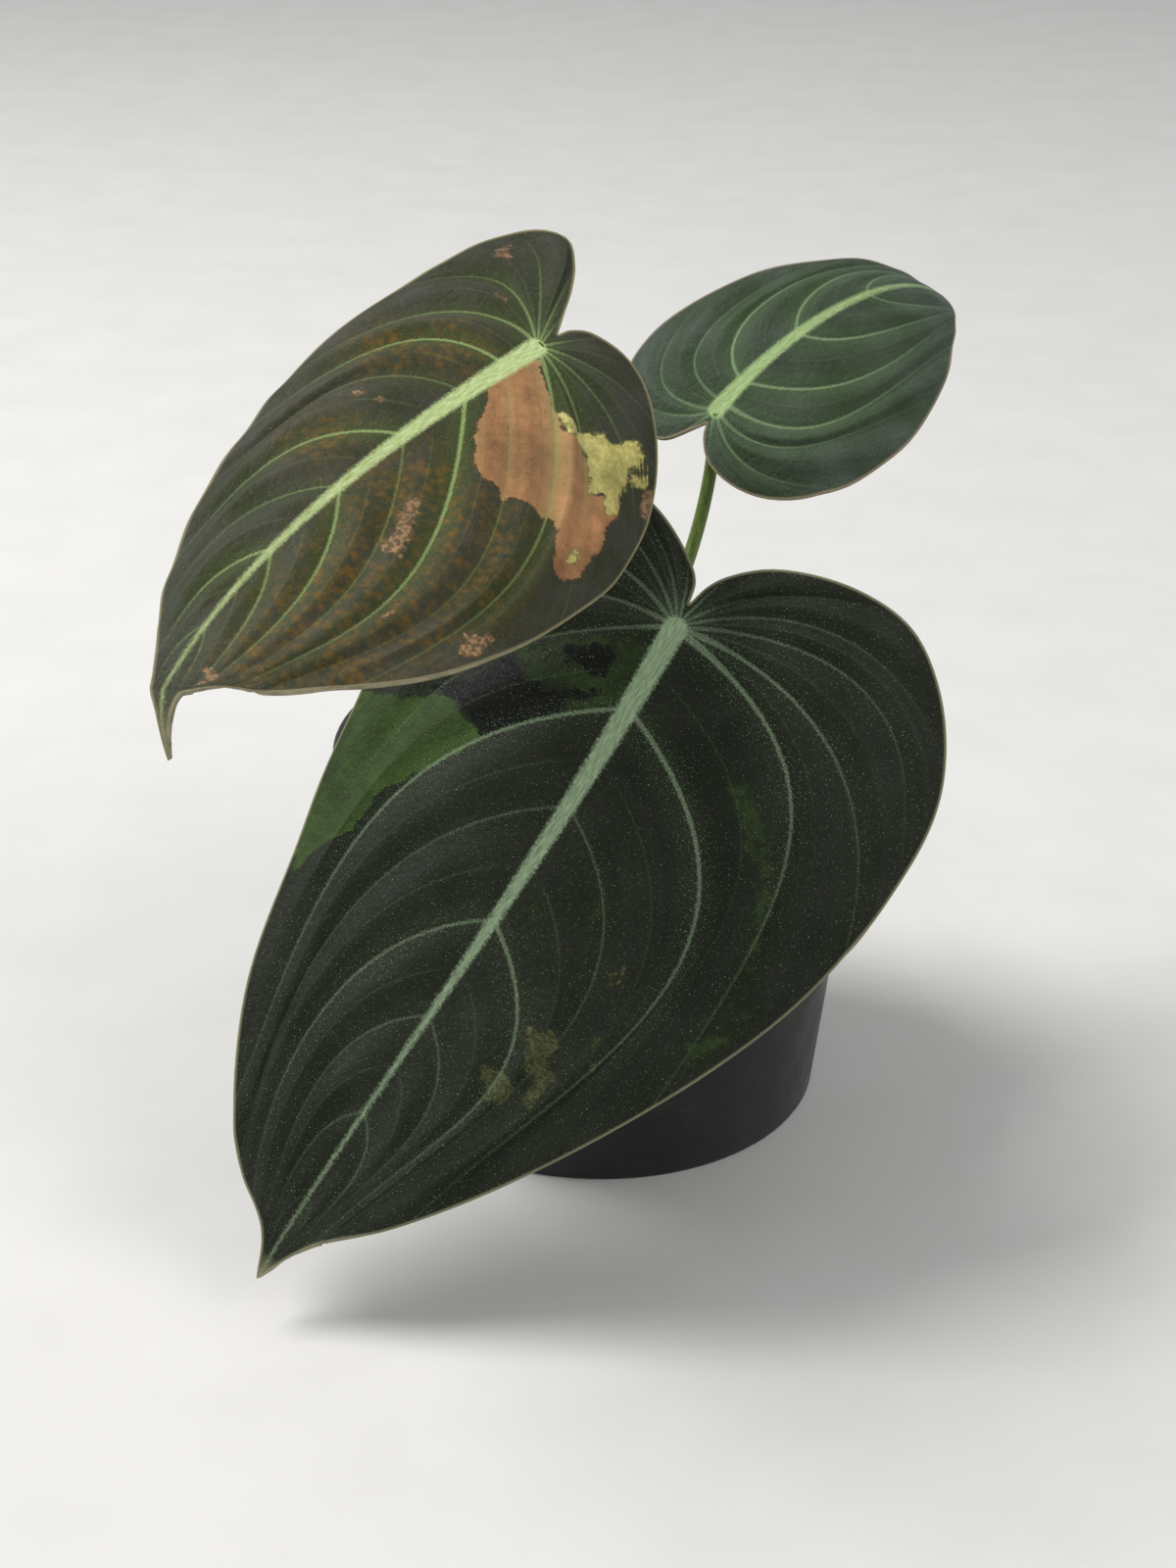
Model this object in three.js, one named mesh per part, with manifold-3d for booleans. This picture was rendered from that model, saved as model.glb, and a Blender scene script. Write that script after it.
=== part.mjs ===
// Potted heart-leaf climber: three velvety leaves on arching petioles in a small round pot.
// Millimetres, +Z up. The origin is the centre of the pot's flat base.
import * as THREE from 'three';
import Module from 'manifold-3d';

const wasm = await Module();
wasm.setup();

// Driving sizes
const POT_HEIGHT = 62;
const POT_BASE_RADIUS = 36;
const POT_RIM_RADIUS = 44;
const POT_BAND_HEIGHT = 8;
const POT_WALL = 1.2;
const POT_FLOOR = 1.6;
const DRAIN_HOLES = 6;
const DRAIN_RADIUS = 3.2;
const DRAIN_CIRCLE = 27;
const SOIL_LEVEL = 50.5;
const SOIL_CHIPS = 110;
const CLEARANCE = 0.3;
const STEM_RADIUS = 3.5;
const STEM_FOOT = 34;
const BLADE_THICKNESS = 0.7;
const RIB_STEPS = 3;
const RIB_CLOSING = 25;
const NECK_LENGTH = 4;

// Stations from the midrib (0) to the margin (1) along every rib
const STATIONS = [0, 0.06, 0.17, 0.3, 0.44, 0.58, 0.72, 0.86, 1];

// A leaf: the midrib runs from the petiole to the tip, then down the drip.
// across gives the way the first half spreads, at the petiole and at the tip.
// fold is each half's angle at the midrib and bend its curl in degrees per mm,
// each at the petiole and at the tip; minus curls a half down and back.
// Each half has a margin, from the sinus round the lobe to the tip, as
// [out from the midrib, along the midrib], and ribs as
// [start on the midrib, lead angle, end on the margin in mm, pull at start, pull at end].
// A rib meets the margin at RIB_CLOSING degrees, from the inside.
const LEAVES = {
  large: {
    midrib: [[10.6, -28, 92.8], [-10.6, -46.7, 60.1], [-33.2, -60.6, 34.6], [-51.1, -72.8, 8]],
    drip: [],
    across: [[0.82, -0.45, -0.38], [0.84, -0.44, -0.32]],
    first: { fold: [6, 6], bend: [-0.5, -0.5] },
    second: { fold: [6, 6], bend: [-0.7, -1.1] },
    bulge: 1.0,
    wave: 0.7,
    ridge: 1.1,
    petiole: [[0.6, -4, 57], [2, -8, 84], [12, -14, 88], [10.6, -28, 92.8]],
    petioleRadius: [2.3, 1.45],
    margins: [
      [[0, -4], [1.2, -7.4], [3.3, -10.2], [9, -14.3], [21, -17.3], [30.8, -16.2], [39, -10],
        [45.2, -0.6], [47.6, 9.2], [45.4, 32.8], [38.5, 53], [24.4, 80.5], [13, 97],
        [4.5, 105.8], [0, 114.1]],
      [[0, -4], [0.9, -7.6], [5, -11.2], [11, -14.4], [18, -16], [28, -14.5], [36, -6],
        [40.5, 7], [42, 20], [41.3, 33], [35, 57], [26.3, 81.6], [12.6, 101.4], [3.5, 107.5],
        [0, 114.1]],
    ],
    ribs: [
      [[0, 180, 0, 0.33, 0], [0, 167, 7, 0.35, 0.2], [0, 148, 33, 0.43, 0.28],
        [0, 130, 58, 0.53, 0.34], [0, 114, 76, 0.66, 0.37], [0, 98, 88, 0.27, 0.52],
        [0, 79, 122.5, 0.51, 0.54], [14, 68, 161.5, 0.58, 0.43], [31, 64, 174.5, 0.46, 0.45],
        [51, 60, 176.5, 0.52, 0.46], [68, 57, 178.5, 0.44, 0.41], [85, 54, 181, 0.39, 0.33],
        [114.1, 50, 999, 0.3, 0.3]],
      [[0, 180, 0, 0.33, 0], [0, 173, 7.5, 0.37, 0.2], [0, 155, 24.5, 0.42, 0.28],
        [0, 137, 46.5, 0.46, 0.36], [0, 118, 65, 0.48, 0.41], [0, 93, 87, 0.39, 0.47],
        [0, 63, 114, 0.52, 0.46], [14, 58, 152.5, 0.58, 0.26], [31, 56, 162, 0.52, 0.22],
        [51, 55, 168, 0.5, 0.23], [68, 55, 171.5, 0.45, 0.29], [85, 51, 173.5, 0.39, 0.29],
        [114.1, 50, 999, 0.3, 0.3]],
    ],
  },
  left: {
    midrib: [[-9.8, -24, 134.2], [-26.4, -43.8, 129.4], [-47, -64.6, 120.1], [-56.9, -79.9, 105.3]],
    drip: [[-57, -84.5, 103.2], [-56, -85, 97.6]],
    across: [[0.66, -0.4, -0.6], [0.92, -0.4, 0.06]],
    first: { fold: [4, 4], bend: [-0.9, -0.9] },
    second: { fold: [0, 0], bend: [-1.5, -1.5] },
    bulge: 0.9,
    wave: 0.6,
    ridge: 0.9,
    petiole: [[-1.5, 3.6, 60], [-1, 20, 95], [-4, -4, 127], [-9.8, -24, 134.2]],
    petioleRadius: [2, 1.25],
    margins: [
      [[0, -4.5], [0.4, -6.8], [2.2, -9.1], [7.8, -11.1], [14.8, -9.9], [22.5, -5.2], [30, 3.6],
        [34, 16.2], [34.6, 26], [33.2, 44], [28.3, 59.4], [18.5, 71], [8.5, 77], [2.6, 80.6],
        [1.1, 84], [0, 89]],
      [[0, -4.5], [2.3, -8.6], [4.7, -12.9], [8.1, -17.5], [12.4, -20.7], [17, -18.8],
        [20.5, -12], [21.3, -2], [23.5, 12.4], [23.6, 25], [18.5, 41.5], [15.7, 52], [9.9, 66.2],
        [4, 75], [1.1, 82], [0, 89]],
    ],
    ribs: [
      [[0, 180, 0, 0.33, 0], [0, 161, 7.5, 0.33, 0.2], [0, 135, 23.5, 0.4, 0.3],
        [0, 111, 45.5, 0.42, 0.38], [0, 88, 69.5, 0.28, 0.47], [0, 61, 106, 0.53, 0.26],
        [7, 50, 119, 0.61, 0.28], [15.5, 41, 124, 0.65, 0.24], [28, 40, 126.5, 0.6, 0.2],
        [41, 40, 128.5, 0.54, 0.15], [55, 38, 129.5, 0.45, 0.15], [69, 34, 131.5, 0.4, 0.1],
        [80.5, 28, 134, 0.3, 0.1], [89, 20, 999, 0.3, 0.1]],
      [[0, 180, 0, 0.33, 0], [0, 169, 4.5, 0.3, 0.15], [0, 152, 14.5, 0.26, 0.13],
        [0, 139, 31, 0.57, 0.29], [0, 126, 51, 0.72, 0.53], [0, 101, 73.5, 0.33, 0.39],
        [7, 86, 86, 0.42, 0.42], [15.5, 70, 97, 0.51, 0.45], [28, 60, 110, 0.48, 0.4],
        [41, 50, 120, 0.42, 0.4], [55, 46, 126, 0.4, 0.35], [69, 40, 130.5, 0.4, 0.25],
        [80.5, 28, 134, 0.3, 0.1], [89, 20, 999, 0.3, 0.1]],
    ],
  },
  small: {
    midrib: [[17.8, 10, 114.1], [28.2, 15.2, 125.6], [47.6, 25.8, 135.9], [58, 44.2, 122.3]],
    drip: [],
    across: [[-0.68, 0.52, 0.46], [-0.58, 0.42, 0.78]],
    first: { fold: [0, -24], bend: [-1.4, -1.2] },
    second: { fold: [6, 6], bend: [-0.6, -0.6] },
    bulge: 0.7,
    wave: 0.3,
    ridge: 0.7,
    petiole: [[1.6, 2, 70], [11.5, 4.5, 79], [17.6, 8.5, 99], [17.8, 10, 114.1]],
    petioleRadius: [1.6, 1.05],
    margins: [
      [[0, -2.5], [1.4, -5], [4.1, -8.8], [8.5, -9.2], [13.5, -7.2], [17.6, -4], [19.2, 3],
        [18, 12], [15, 21.5], [11.8, 29.3], [8.6, 37.5], [5.2, 47.5], [0, 59]],
      [[0, -2.5], [1.3, -4.7], [4.5, -7.2], [9.5, -7.9], [15, -6.5], [20.2, -2.5], [24.1, 4.2],
        [25.4, 14], [24.6, 22], [19.6, 35], [12.2, 45.5], [6, 53], [0, 59]],
    ],
    ribs: [
      [[0, 180, 0, 0.33, 0], [0, 162, 4.5, 0.34, 0.19], [0, 143, 21.5, 0.45, 0.34],
        [0, 117, 42, 0.66, 0.49], [1.8, 95, 61, 0.52, 0.45], [6.2, 78, 75.5, 0.39, 0.26],
        [18, 54, 83, 0.36, 0.25], [33, 48, 85.5, 0.33, 0.25], [59, 45, 999, 0.3, 0.3]],
      [[0, 180, 0, 0.33, 0], [0, 160, 7, 0.35, 0.21], [0, 131, 30, 0.48, 0.36],
        [0, 105, 61.5, 0.48, 0.4], [1.8, 89, 76, 0.52, 0.32], [6.2, 64, 86, 0.5, 0.27],
        [18, 58, 89, 0.35, 0.25], [33, 52, 90.5, 0.32, 0.22], [59, 45, 999, 0.3, 0.3]],
    ],
  },
};

// Colours, sRGB
const LARGE_GREEN = 0x24301f;
const LEFT_GREEN = 0x343a1e;
const SMALL_GREEN = 0x3d5238;
const PETIOLE_GREEN = 0x56702f;
const STEM_GREEN = 0x4a5a2c;
const BARK_BROWN = 0x4a2f22;
const POT_BLACK = 0x141416;

const vec = (p) => new THREE.Vector3(p[0], p[1], p[2]);
const radians = (degrees) => THREE.MathUtils.degToRad(degrees);
const mix = (a, b, k) => a + (b - a) * k;

// Repeatable random numbers from 0 to 1
function randomFrom(seed) {
  let state = seed;
  return () => {
    state = (state * 1664525 + 1013904223) % 4294967296;
    return state / 4294967296;
  };
}

// Triangles from corner points, with equal corners joined and flat slivers left out
class Shell {
  constructor() {
    this.points = [];
    this.faces = [];
    this.known = new Map();
  }

  corner(p) {
    const key = `${p.x.toFixed(3)} ${p.y.toFixed(3)} ${p.z.toFixed(3)}`;
    if (!this.known.has(key)) {
      this.known.set(key, this.points.length);
      this.points.push(p.clone());
    }
    return this.known.get(key);
  }

  face(a, b, c) {
    const ids = [this.corner(a), this.corner(b), this.corner(c)];
    if (ids[0] !== ids[1] && ids[1] !== ids[2] && ids[2] !== ids[0]) this.faces.push(ids);
  }

  quad(a, b, c, d) {
    this.face(a, b, c);
    this.face(a, c, d);
  }

  solid() {
    const mesh = new wasm.Mesh({
      numProp: 3,
      vertProperties: new Float32Array(this.points.flatMap((p) => [p.x, p.y, p.z])),
      triVerts: new Uint32Array(this.faces.flat()),
    });
    return new wasm.Manifold(mesh);
  }
}

function named(name, solid, material) {
  const mesh = solid.getMesh();
  const geometry = new THREE.BufferGeometry();
  geometry.setAttribute('position', new THREE.BufferAttribute(mesh.vertProperties.slice(), 3));
  geometry.setIndex(new THREE.BufferAttribute(mesh.triVerts.slice(), 1));
  geometry.computeVertexNormals();
  const object = new THREE.Mesh(geometry, material);
  object.name = name;
  return object;
}

function finish(name, color, roughness) {
  const material = new THREE.MeshStandardMaterial({ color, roughness, metalness: 0 });
  material.name = name;
  return material;
}

// A round body turned about Z from [radius, height] points that start and end on the axis
function turned(profile, sides) {
  const shell = new Shell();
  const at = ([r, z], i) => {
    const angle = (2 * Math.PI * (i % sides)) / sides;
    return new THREE.Vector3(r * Math.cos(angle), r * Math.sin(angle), z);
  };
  for (let k = 0; k + 1 < profile.length; k += 1) {
    for (let i = 0; i < sides; i += 1) {
      const [low, high] = [profile[k], profile[k + 1]];
      shell.quad(at(low, i), at(low, i + 1), at(high, i + 1), at(high, i));
    }
  }
  return shell.solid();
}

// A round rod along a curve between two of its parameters, with flat ends
function rod(curve, from, to, radiusAt, rings, sides) {
  const shell = new Shell();
  const start = curve.getTangent(from).normalize();
  let side = new THREE.Vector3(0.31, 0.95, 0.07).cross(start).normalize();
  const loops = [];
  for (let k = 0; k <= rings; k += 1) {
    const t = mix(from, to, k / rings);
    const centre = curve.getPoint(t);
    const way = curve.getTangent(t).normalize();
    side = side.clone().addScaledVector(way, -side.dot(way)).normalize();
    const other = way.clone().cross(side);
    const loop = [];
    for (let i = 0; i < sides; i += 1) {
      const angle = (2 * Math.PI * i) / sides;
      const p = centre.clone().addScaledVector(side, radiusAt(t) * Math.cos(angle));
      loop.push(p.addScaledVector(other, radiusAt(t) * Math.sin(angle)));
    }
    loops.push({ centre, loop });
  }
  const last = loops[rings];
  for (let i = 0; i < sides; i += 1) {
    const n = (i + 1) % sides;
    shell.face(loops[0].centre, loops[0].loop[n], loops[0].loop[i]);
    shell.face(last.centre, last.loop[i], last.loop[n]);
    for (let k = 0; k < rings; k += 1) {
      const [a, b] = [loops[k].loop, loops[k + 1].loop];
      shell.quad(a[i], a[n], b[n], b[i]);
    }
  }
  return shell.solid();
}

// Inner wall of the pot at a height
function potInside(z) {
  const top = POT_HEIGHT - POT_BAND_HEIGHT;
  const slope = (POT_RIM_RADIUS - 1.8 - POT_BASE_RADIUS) / top;
  return POT_BASE_RADIUS + slope * z - POT_WALL;
}

// Tapered pot with a banded rim, a flat base and drain holes round its foot
function makePot() {
  const bandFoot = POT_HEIGHT - POT_BAND_HEIGHT;
  const wallTop = potInside(bandFoot) + POT_WALL;
  let pot = turned([
    [0, 0],
    [POT_BASE_RADIUS - 0.6, 0],
    [POT_BASE_RADIUS, 0.7],
    [wallTop, bandFoot],
    [POT_RIM_RADIUS - 0.5, bandFoot + 0.6],
    [POT_RIM_RADIUS, POT_HEIGHT - 0.9],
    [POT_RIM_RADIUS - 0.6, POT_HEIGHT],
    [POT_RIM_RADIUS - 1.5, POT_HEIGHT - 0.4],
    [potInside(bandFoot), bandFoot - 1],
    [potInside(POT_FLOOR + 1), POT_FLOOR + 1],
    [potInside(POT_FLOOR) - 1, POT_FLOOR],
    [0, POT_FLOOR],
  ], 48);
  const drill = turned([[0, -2], [DRAIN_RADIUS, -2], [DRAIN_RADIUS, 4], [0, 4]], 16);
  for (let i = 0; i < DRAIN_HOLES; i += 1) {
    const angle = (2 * Math.PI * i) / DRAIN_HOLES;
    const place = [DRAIN_CIRCLE * Math.cos(angle), DRAIN_CIRCLE * Math.sin(angle), 0];
    pot = pot.subtract(drill.translate(place));
  }
  return pot;
}

// Bark chips: flat tilted flakes whose highest face makes the surface
function chipSurface() {
  const random = randomFrom(11);
  const chips = [];
  for (let i = 0; i < SOIL_CHIPS; i += 1) {
    const reach = 40 * Math.sqrt(random());
    const bearing = 2 * Math.PI * random();
    chips.push({
      x: reach * Math.cos(bearing),
      y: reach * Math.sin(bearing),
      turn: Math.PI * random(),
      long: mix(3.5, 7.5, random()),
      wide: mix(2.2, 4.5, random()),
      lift: mix(-0.6, 2.2, random()),
      tiltLong: mix(-0.28, 0.28, random()),
      tiltWide: mix(-0.35, 0.35, random()),
    });
  }
  return (x, y) => {
    let height = -1;
    for (const chip of chips) {
      const u = (x - chip.x) * Math.cos(chip.turn) + (y - chip.y) * Math.sin(chip.turn);
      const v = (y - chip.y) * Math.cos(chip.turn) - (x - chip.x) * Math.sin(chip.turn);
      const inside = Math.abs(u) < chip.long && Math.abs(v) < chip.wide;
      if (inside) height = Math.max(height, chip.lift + chip.tiltLong * u + chip.tiltWide * v);
    }
    return height;
  };
}

// Bark mix filling the pot, with a lumpy top and a plain hole for the stem
function makeSoil() {
  const foot = POT_FLOOR + CLEARANCE;
  const side = (z) => potInside(z) - CLEARANCE;
  const relief = chipSurface();
  const rings = 13;
  const sides = 48;
  const shell = new Shell();
  const top = (k, i) => {
    const angle = (2 * Math.PI * (i % sides)) / sides;
    const radius = (k / rings) * side(SOIL_LEVEL);
    const [x, y] = [radius * Math.cos(angle), radius * Math.sin(angle)];
    const z = k === rings ? SOIL_LEVEL : SOIL_LEVEL + relief(x, y);
    return new THREE.Vector3(x, y, z);
  };
  const low = (radius, z, i) => {
    const angle = (2 * Math.PI * (i % sides)) / sides;
    return new THREE.Vector3(radius * Math.cos(angle), radius * Math.sin(angle), z);
  };
  const [toe, edge] = [side(foot) - 1.2, side(foot + 1.2)];
  for (let i = 0; i < sides; i += 1) {
    for (let k = 0; k < rings; k += 1) {
      shell.quad(top(k, i), top(k + 1, i), top(k + 1, i + 1), top(k, i + 1));
    }
    const heel = foot + 1.2;
    shell.quad(low(edge, heel, i), low(edge, heel, i + 1), top(rings, i + 1), top(rings, i));
    shell.quad(low(toe, foot, i), low(toe, foot, i + 1), low(edge, heel, i + 1), low(edge, heel, i));
    shell.face(low(0, foot, i), low(toe, foot, i + 1), low(toe, foot, i));
  }
  const radius = STEM_RADIUS + CLEARANCE;
  const under = STEM_FOOT - CLEARANCE;
  const hole = turned([[0, under], [radius, under], [radius, 80], [0, 80]], 20);
  return shell.solid().subtract(hole);
}

const STEM_LINE = new THREE.CatmullRomCurve3([
  vec([0, 0, STEM_FOOT]),
  vec([0, 0, 47]),
  vec([0, 0, 54]),
  vec([0.3, 0.2, 61]),
  vec([1.2, 1.4, 69]),
]);

// Short climbing stem with swollen nodes and a rounded top
function makeStem(extra) {
  const height = (t) => STEM_LINE.getPoint(t).z;
  const radiusAt = (t) => {
    const z = height(t);
    const nodes = [57, 63].map((node) => 0.55 * Math.exp(-(((z - node) / 1.3) ** 2)));
    const taper = z < 53 ? STEM_RADIUS : mix(STEM_RADIUS, 2.7, (z - 53) / 16);
    const crown = Math.sqrt(Math.max(0, 1 - Math.max(0, (z - 67.6) / 1.7) ** 2));
    return (taper + nodes[0] + nodes[1]) * crown + extra;
  };
  return rod(STEM_LINE, 0, 1, radiusAt, 28, 16);
}

// The midrib of a leaf as a table of points with their distance from the petiole
function traceMidrib(leaf) {
  const path = new THREE.CurvePath();
  path.add(new THREE.CubicBezierCurve3(...leaf.midrib.map(vec)));
  if (leaf.drip.length) {
    path.add(new THREE.QuadraticBezierCurve3(vec(leaf.midrib[3]), ...leaf.drip.map(vec)));
  }
  const points = path.curves.flatMap((curve, i) => curve.getPoints(80).slice(i ? 1 : 0));
  const along = [0];
  for (let i = 1; i < points.length; i += 1) {
    along.push(along[i - 1] + points[i].distanceTo(points[i - 1]));
  }
  return { points, along, length: along[along.length - 1] };
}

function midribPoint({ points, along, length }, y) {
  const last = points.length - 1;
  if (y <= 0) {
    const back = points[1].clone().sub(points[0]).normalize();
    return points[0].clone().addScaledVector(back, y);
  }
  if (y >= length) {
    const on = points[last].clone().sub(points[last - 1]).normalize();
    return points[last].clone().addScaledVector(on, y - length);
  }
  let i = 1;
  while (along[i] < y) i += 1;
  const k = (y - along[i - 1]) / (along[i] - along[i - 1]);
  return points[i - 1].clone().lerp(points[i], k);
}

// The place in space of a spot x out from the midrib, y along it, lifted off the leaf
function bladePoint(leaf, trace, x, y, lift) {
  const centre = midribPoint(trace, y);
  const way = midribPoint(trace, y + 0.8).sub(midribPoint(trace, y - 0.8)).normalize();
  const k = THREE.MathUtils.clamp(y / trace.length, 0, 1);
  const across = vec(leaf.across[0]).lerp(vec(leaf.across[1]), k);
  across.addScaledVector(way, -across.dot(way)).normalize();
  const up = way.clone().cross(across);
  const half = x > 0 ? leaf.first : leaf.second;
  const fold = radians(mix(half.fold[0], half.fold[1], k));
  const bend = radians(mix(half.bend[0], half.bend[1], k));
  const reach = Math.abs(x);
  const sign = x > 0 ? 1 : -1;
  const slope = fold + bend * reach;
  const out = (Math.sin(slope) - Math.sin(fold)) / bend;
  const rise = (Math.cos(fold) - Math.cos(slope)) / bend;
  const lean = slope * Math.min(1, reach / 3);
  return centre
    .addScaledVector(across, sign * (out - lift * Math.sin(lean)))
    .addScaledVector(up, rise + lift * Math.cos(lean));
}

// One half of a leaf: points along its ribs and between them
function ribGrid(margin, ribs) {
  const edge = new THREE.CatmullRomCurve3(margin.map(([x, y]) => vec([x, y, 0])), false, 'centripetal');
  edge.arcLengthDivisions = 800;
  const length = edge.getLength();
  const rows = [];
  const count = (ribs.length - 1) * RIB_STEPS;
  for (let i = 0; i <= count; i += 1) {
    const n = Math.min(Math.floor(i / RIB_STEPS), ribs.length - 2);
    const k = i / RIB_STEPS - n;
    const ends = [Math.min(ribs[n][2], length), Math.min(ribs[n + 1][2], length)];
    const [start, lead, , pull, pullEnd] = ribs[n].map((value, j) => mix(value, ribs[n + 1][j], k));
    const u = mix(ends[0], ends[1], k) / length;
    const end = edge.getPointAt(u);
    const begin = vec([0, start, 0]);
    const span = end.distanceTo(begin);
    const aim = vec([Math.sin(radians(lead)), Math.cos(radians(lead)), 0]);
    const arrive = edge.getTangentAt(u).applyAxisAngle(vec([0, 0, 1]), -radians(RIB_CLOSING));
    const curve = new THREE.CubicBezierCurve3(
      begin,
      begin.clone().addScaledVector(aim, pull * span),
      end.clone().addScaledVector(arrive, -pullEnd * span),
      end,
    );
    rows.push({ phase: i / RIB_STEPS, span, curve });
  }
  return rows;
}

// Quilted blade: ribs sunk, the leaf full between them, a keel under the midrib
function makeBlade(leaf) {
  const trace = traceMidrib(leaf);
  const shell = new Shell();
  const smooth = (a, b, v) => THREE.MathUtils.smoothstep(v, a, b);
  leaf.margins.forEach((margin, which) => {
    const sign = which === 0 ? 1 : -1;
    const rows = ribGrid(margin, leaf.ribs[which]);
    const grid = rows.map(({ phase, span, curve }) => STATIONS.map((s) => {
      const spot = curve.getPoint(s);
      const full = Math.min(1, span / 30) * smooth(0, 0.25, s) * (1 - 0.55 * smooth(0.7, 1, s));
      const quilt = leaf.bulge * full * (Math.sin(Math.PI * phase) ** 2 - 0.35);
      const ripple = leaf.wave * s ** 3 * Math.min(1, span / 30) * sign * Math.sin(1.7 * phase);
      const along = THREE.MathUtils.clamp(spot.y / trace.length, 0, 1);
      const keel = s === 0 ? leaf.ridge * mix(1, 0.25, along) : 0;
      const height = quilt + ripple;
      return [
        bladePoint(leaf, trace, sign * spot.x, spot.y, height + BLADE_THICKNESS / 2),
        bladePoint(leaf, trace, sign * spot.x, spot.y, height - BLADE_THICKNESS / 2 - keel),
      ];
    }));
    const last = STATIONS.length - 1;
    const add = (a, b, c, d) => (sign > 0 ? shell.quad(a, b, c, d) : shell.quad(a, d, c, b));
    for (let i = 0; i + 1 < grid.length; i += 1) {
      for (let j = 0; j < last; j += 1) {
        const [a, b, c, d] = [grid[i][j], grid[i + 1][j], grid[i + 1][j + 1], grid[i][j + 1]];
        add(a[0], b[0], c[0], d[0]);
        if (sign > 0) {
          shell.face(a[1], c[1], b[1]);
          shell.face(a[1], d[1], c[1]);
        } else {
          shell.face(a[1], c[1], d[1]);
          shell.face(a[1], b[1], c[1]);
        }
      }
      const [from, to] = [grid[i][last], grid[i + 1][last]];
      add(from[0], to[0], to[1], from[1]);
    }
  });
  return shell.solid().add(makeNeck(leaf));
}

// The petiole's curve, its radius, and where the neck takes over from it
function petioleLine(leaf) {
  const curve = new THREE.CubicBezierCurve3(...leaf.petiole.map(vec));
  const length = curve.getLength();
  const [foot, head] = leaf.petioleRadius;
  const radiusAt = (t) => mix(head, foot, (1 - t) ** 3) + 0.12 * Math.exp(-(((1 - t) * length - 5) ** 2) / 8);
  let joint = 1;
  while (curve.getPoint(joint).distanceTo(curve.getPoint(1)) < NECK_LENGTH) joint -= 0.001;
  return { curve, length, radiusAt, joint };
}

// The short bent neck that joins the blade to its petiole
function makeNeck(leaf) {
  const { curve, radiusAt, joint } = petioleLine(leaf);
  const radius = (t) => radiusAt(t) * mix(1, 0.72, Math.max(0, (t - joint) / (1 - joint)));
  return rod(curve, joint, 1, radius, 4, 12);
}

// Round petiole, cut to the stem at its foot and square at its head
function makePetiole(leaf, stemRoom) {
  const { curve, length, radiusAt, joint } = petioleLine(leaf);
  const speed = curve.getPoint(joint).distanceTo(curve.getPoint(joint - 0.01)) / 0.01;
  const rings = Math.round(length / 4);
  return rod(curve, 0, joint - CLEARANCE / speed, radiusAt, rings, 12).subtract(stemRoom);
}

const plant = new THREE.Group();
plant.name = 'potted_philodendron';

const potFinish = finish('pot_plastic', POT_BLACK, 0.45);
const barkFinish = finish('bark_mix', BARK_BROWN, 0.95);
const stemFinish = finish('stem', STEM_GREEN, 0.6);
const petioleFinish = finish('petiole', PETIOLE_GREEN, 0.5);

plant.add(named('pot', makePot(), potFinish));
plant.add(named('bark_mix', makeSoil(), barkFinish));
plant.add(named('stem', makeStem(0), stemFinish));

const stemRoom = makeStem(CLEARANCE);
const bladeColors = { large: LARGE_GREEN, left: LEFT_GREEN, small: SMALL_GREEN };
for (const [size, leaf] of Object.entries(LEAVES)) {
  plant.add(named(`petiole_${size}_leaf`, makePetiole(leaf, stemRoom), petioleFinish));
  plant.add(named(`blade_${size}_leaf`, makeBlade(leaf), finish(`blade_${size}`, bladeColors[size], 0.7)));
}

export default plant;
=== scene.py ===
"""Potted climbing aroid: three heart-shaped velvet leaves, one splashed tan and one green, on arching
stalks over bark mix, in a small black pot.

Nine pieces stand for the part's nine nodes: pot, bark mix, stem, three petioles and three blades.
Shapes are worked out in millimetres and written in metres, in the part's frame. A leaf's colours
follow numbers held at its points: how far each is from a vein, the midrib, the margin and a patch.
"""

import math
import random

import bmesh
import bpy
import numpy as np
from mathutils import Matrix, Vector


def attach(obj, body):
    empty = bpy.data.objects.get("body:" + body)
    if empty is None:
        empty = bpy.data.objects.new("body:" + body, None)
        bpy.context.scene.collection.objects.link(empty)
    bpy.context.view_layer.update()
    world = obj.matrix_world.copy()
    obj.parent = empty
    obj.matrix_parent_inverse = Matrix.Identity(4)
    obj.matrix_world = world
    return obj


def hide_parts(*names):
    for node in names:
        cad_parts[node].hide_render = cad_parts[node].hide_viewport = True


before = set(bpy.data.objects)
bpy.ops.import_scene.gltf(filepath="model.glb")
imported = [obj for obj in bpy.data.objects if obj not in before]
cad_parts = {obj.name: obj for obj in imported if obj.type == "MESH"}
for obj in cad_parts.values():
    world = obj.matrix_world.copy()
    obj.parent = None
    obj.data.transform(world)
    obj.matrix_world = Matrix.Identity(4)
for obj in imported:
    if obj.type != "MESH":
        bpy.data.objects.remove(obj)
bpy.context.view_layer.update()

MM = 0.001
random.seed(7)

# Driving sizes, mm; the pot's are its height, the radii of base and rim, its band, wall and floor
POT_HEIGHT, POT_BASE, POT_RIM, POT_BAND, POT_WALL, POT_FLOOR = 62, 36, 44, 8, 1.2, 1.6
DRAIN_HOLES, DRAIN_RING, DRAIN_RADIUS = 6, 27, 3.2
SOIL_LEVEL, CHIPS, CRUMBS = 50.5, 110, 900
STEM_RADIUS, STEM_SCARS = 3.5, (57, 63)
BLADE_THICKNESS, GROOVE_DEPTH = 0.7, 0.22
NECK_LENGTH = 4
RIB_CLOSING = 25  # degrees at which a rib runs into the margin

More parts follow.
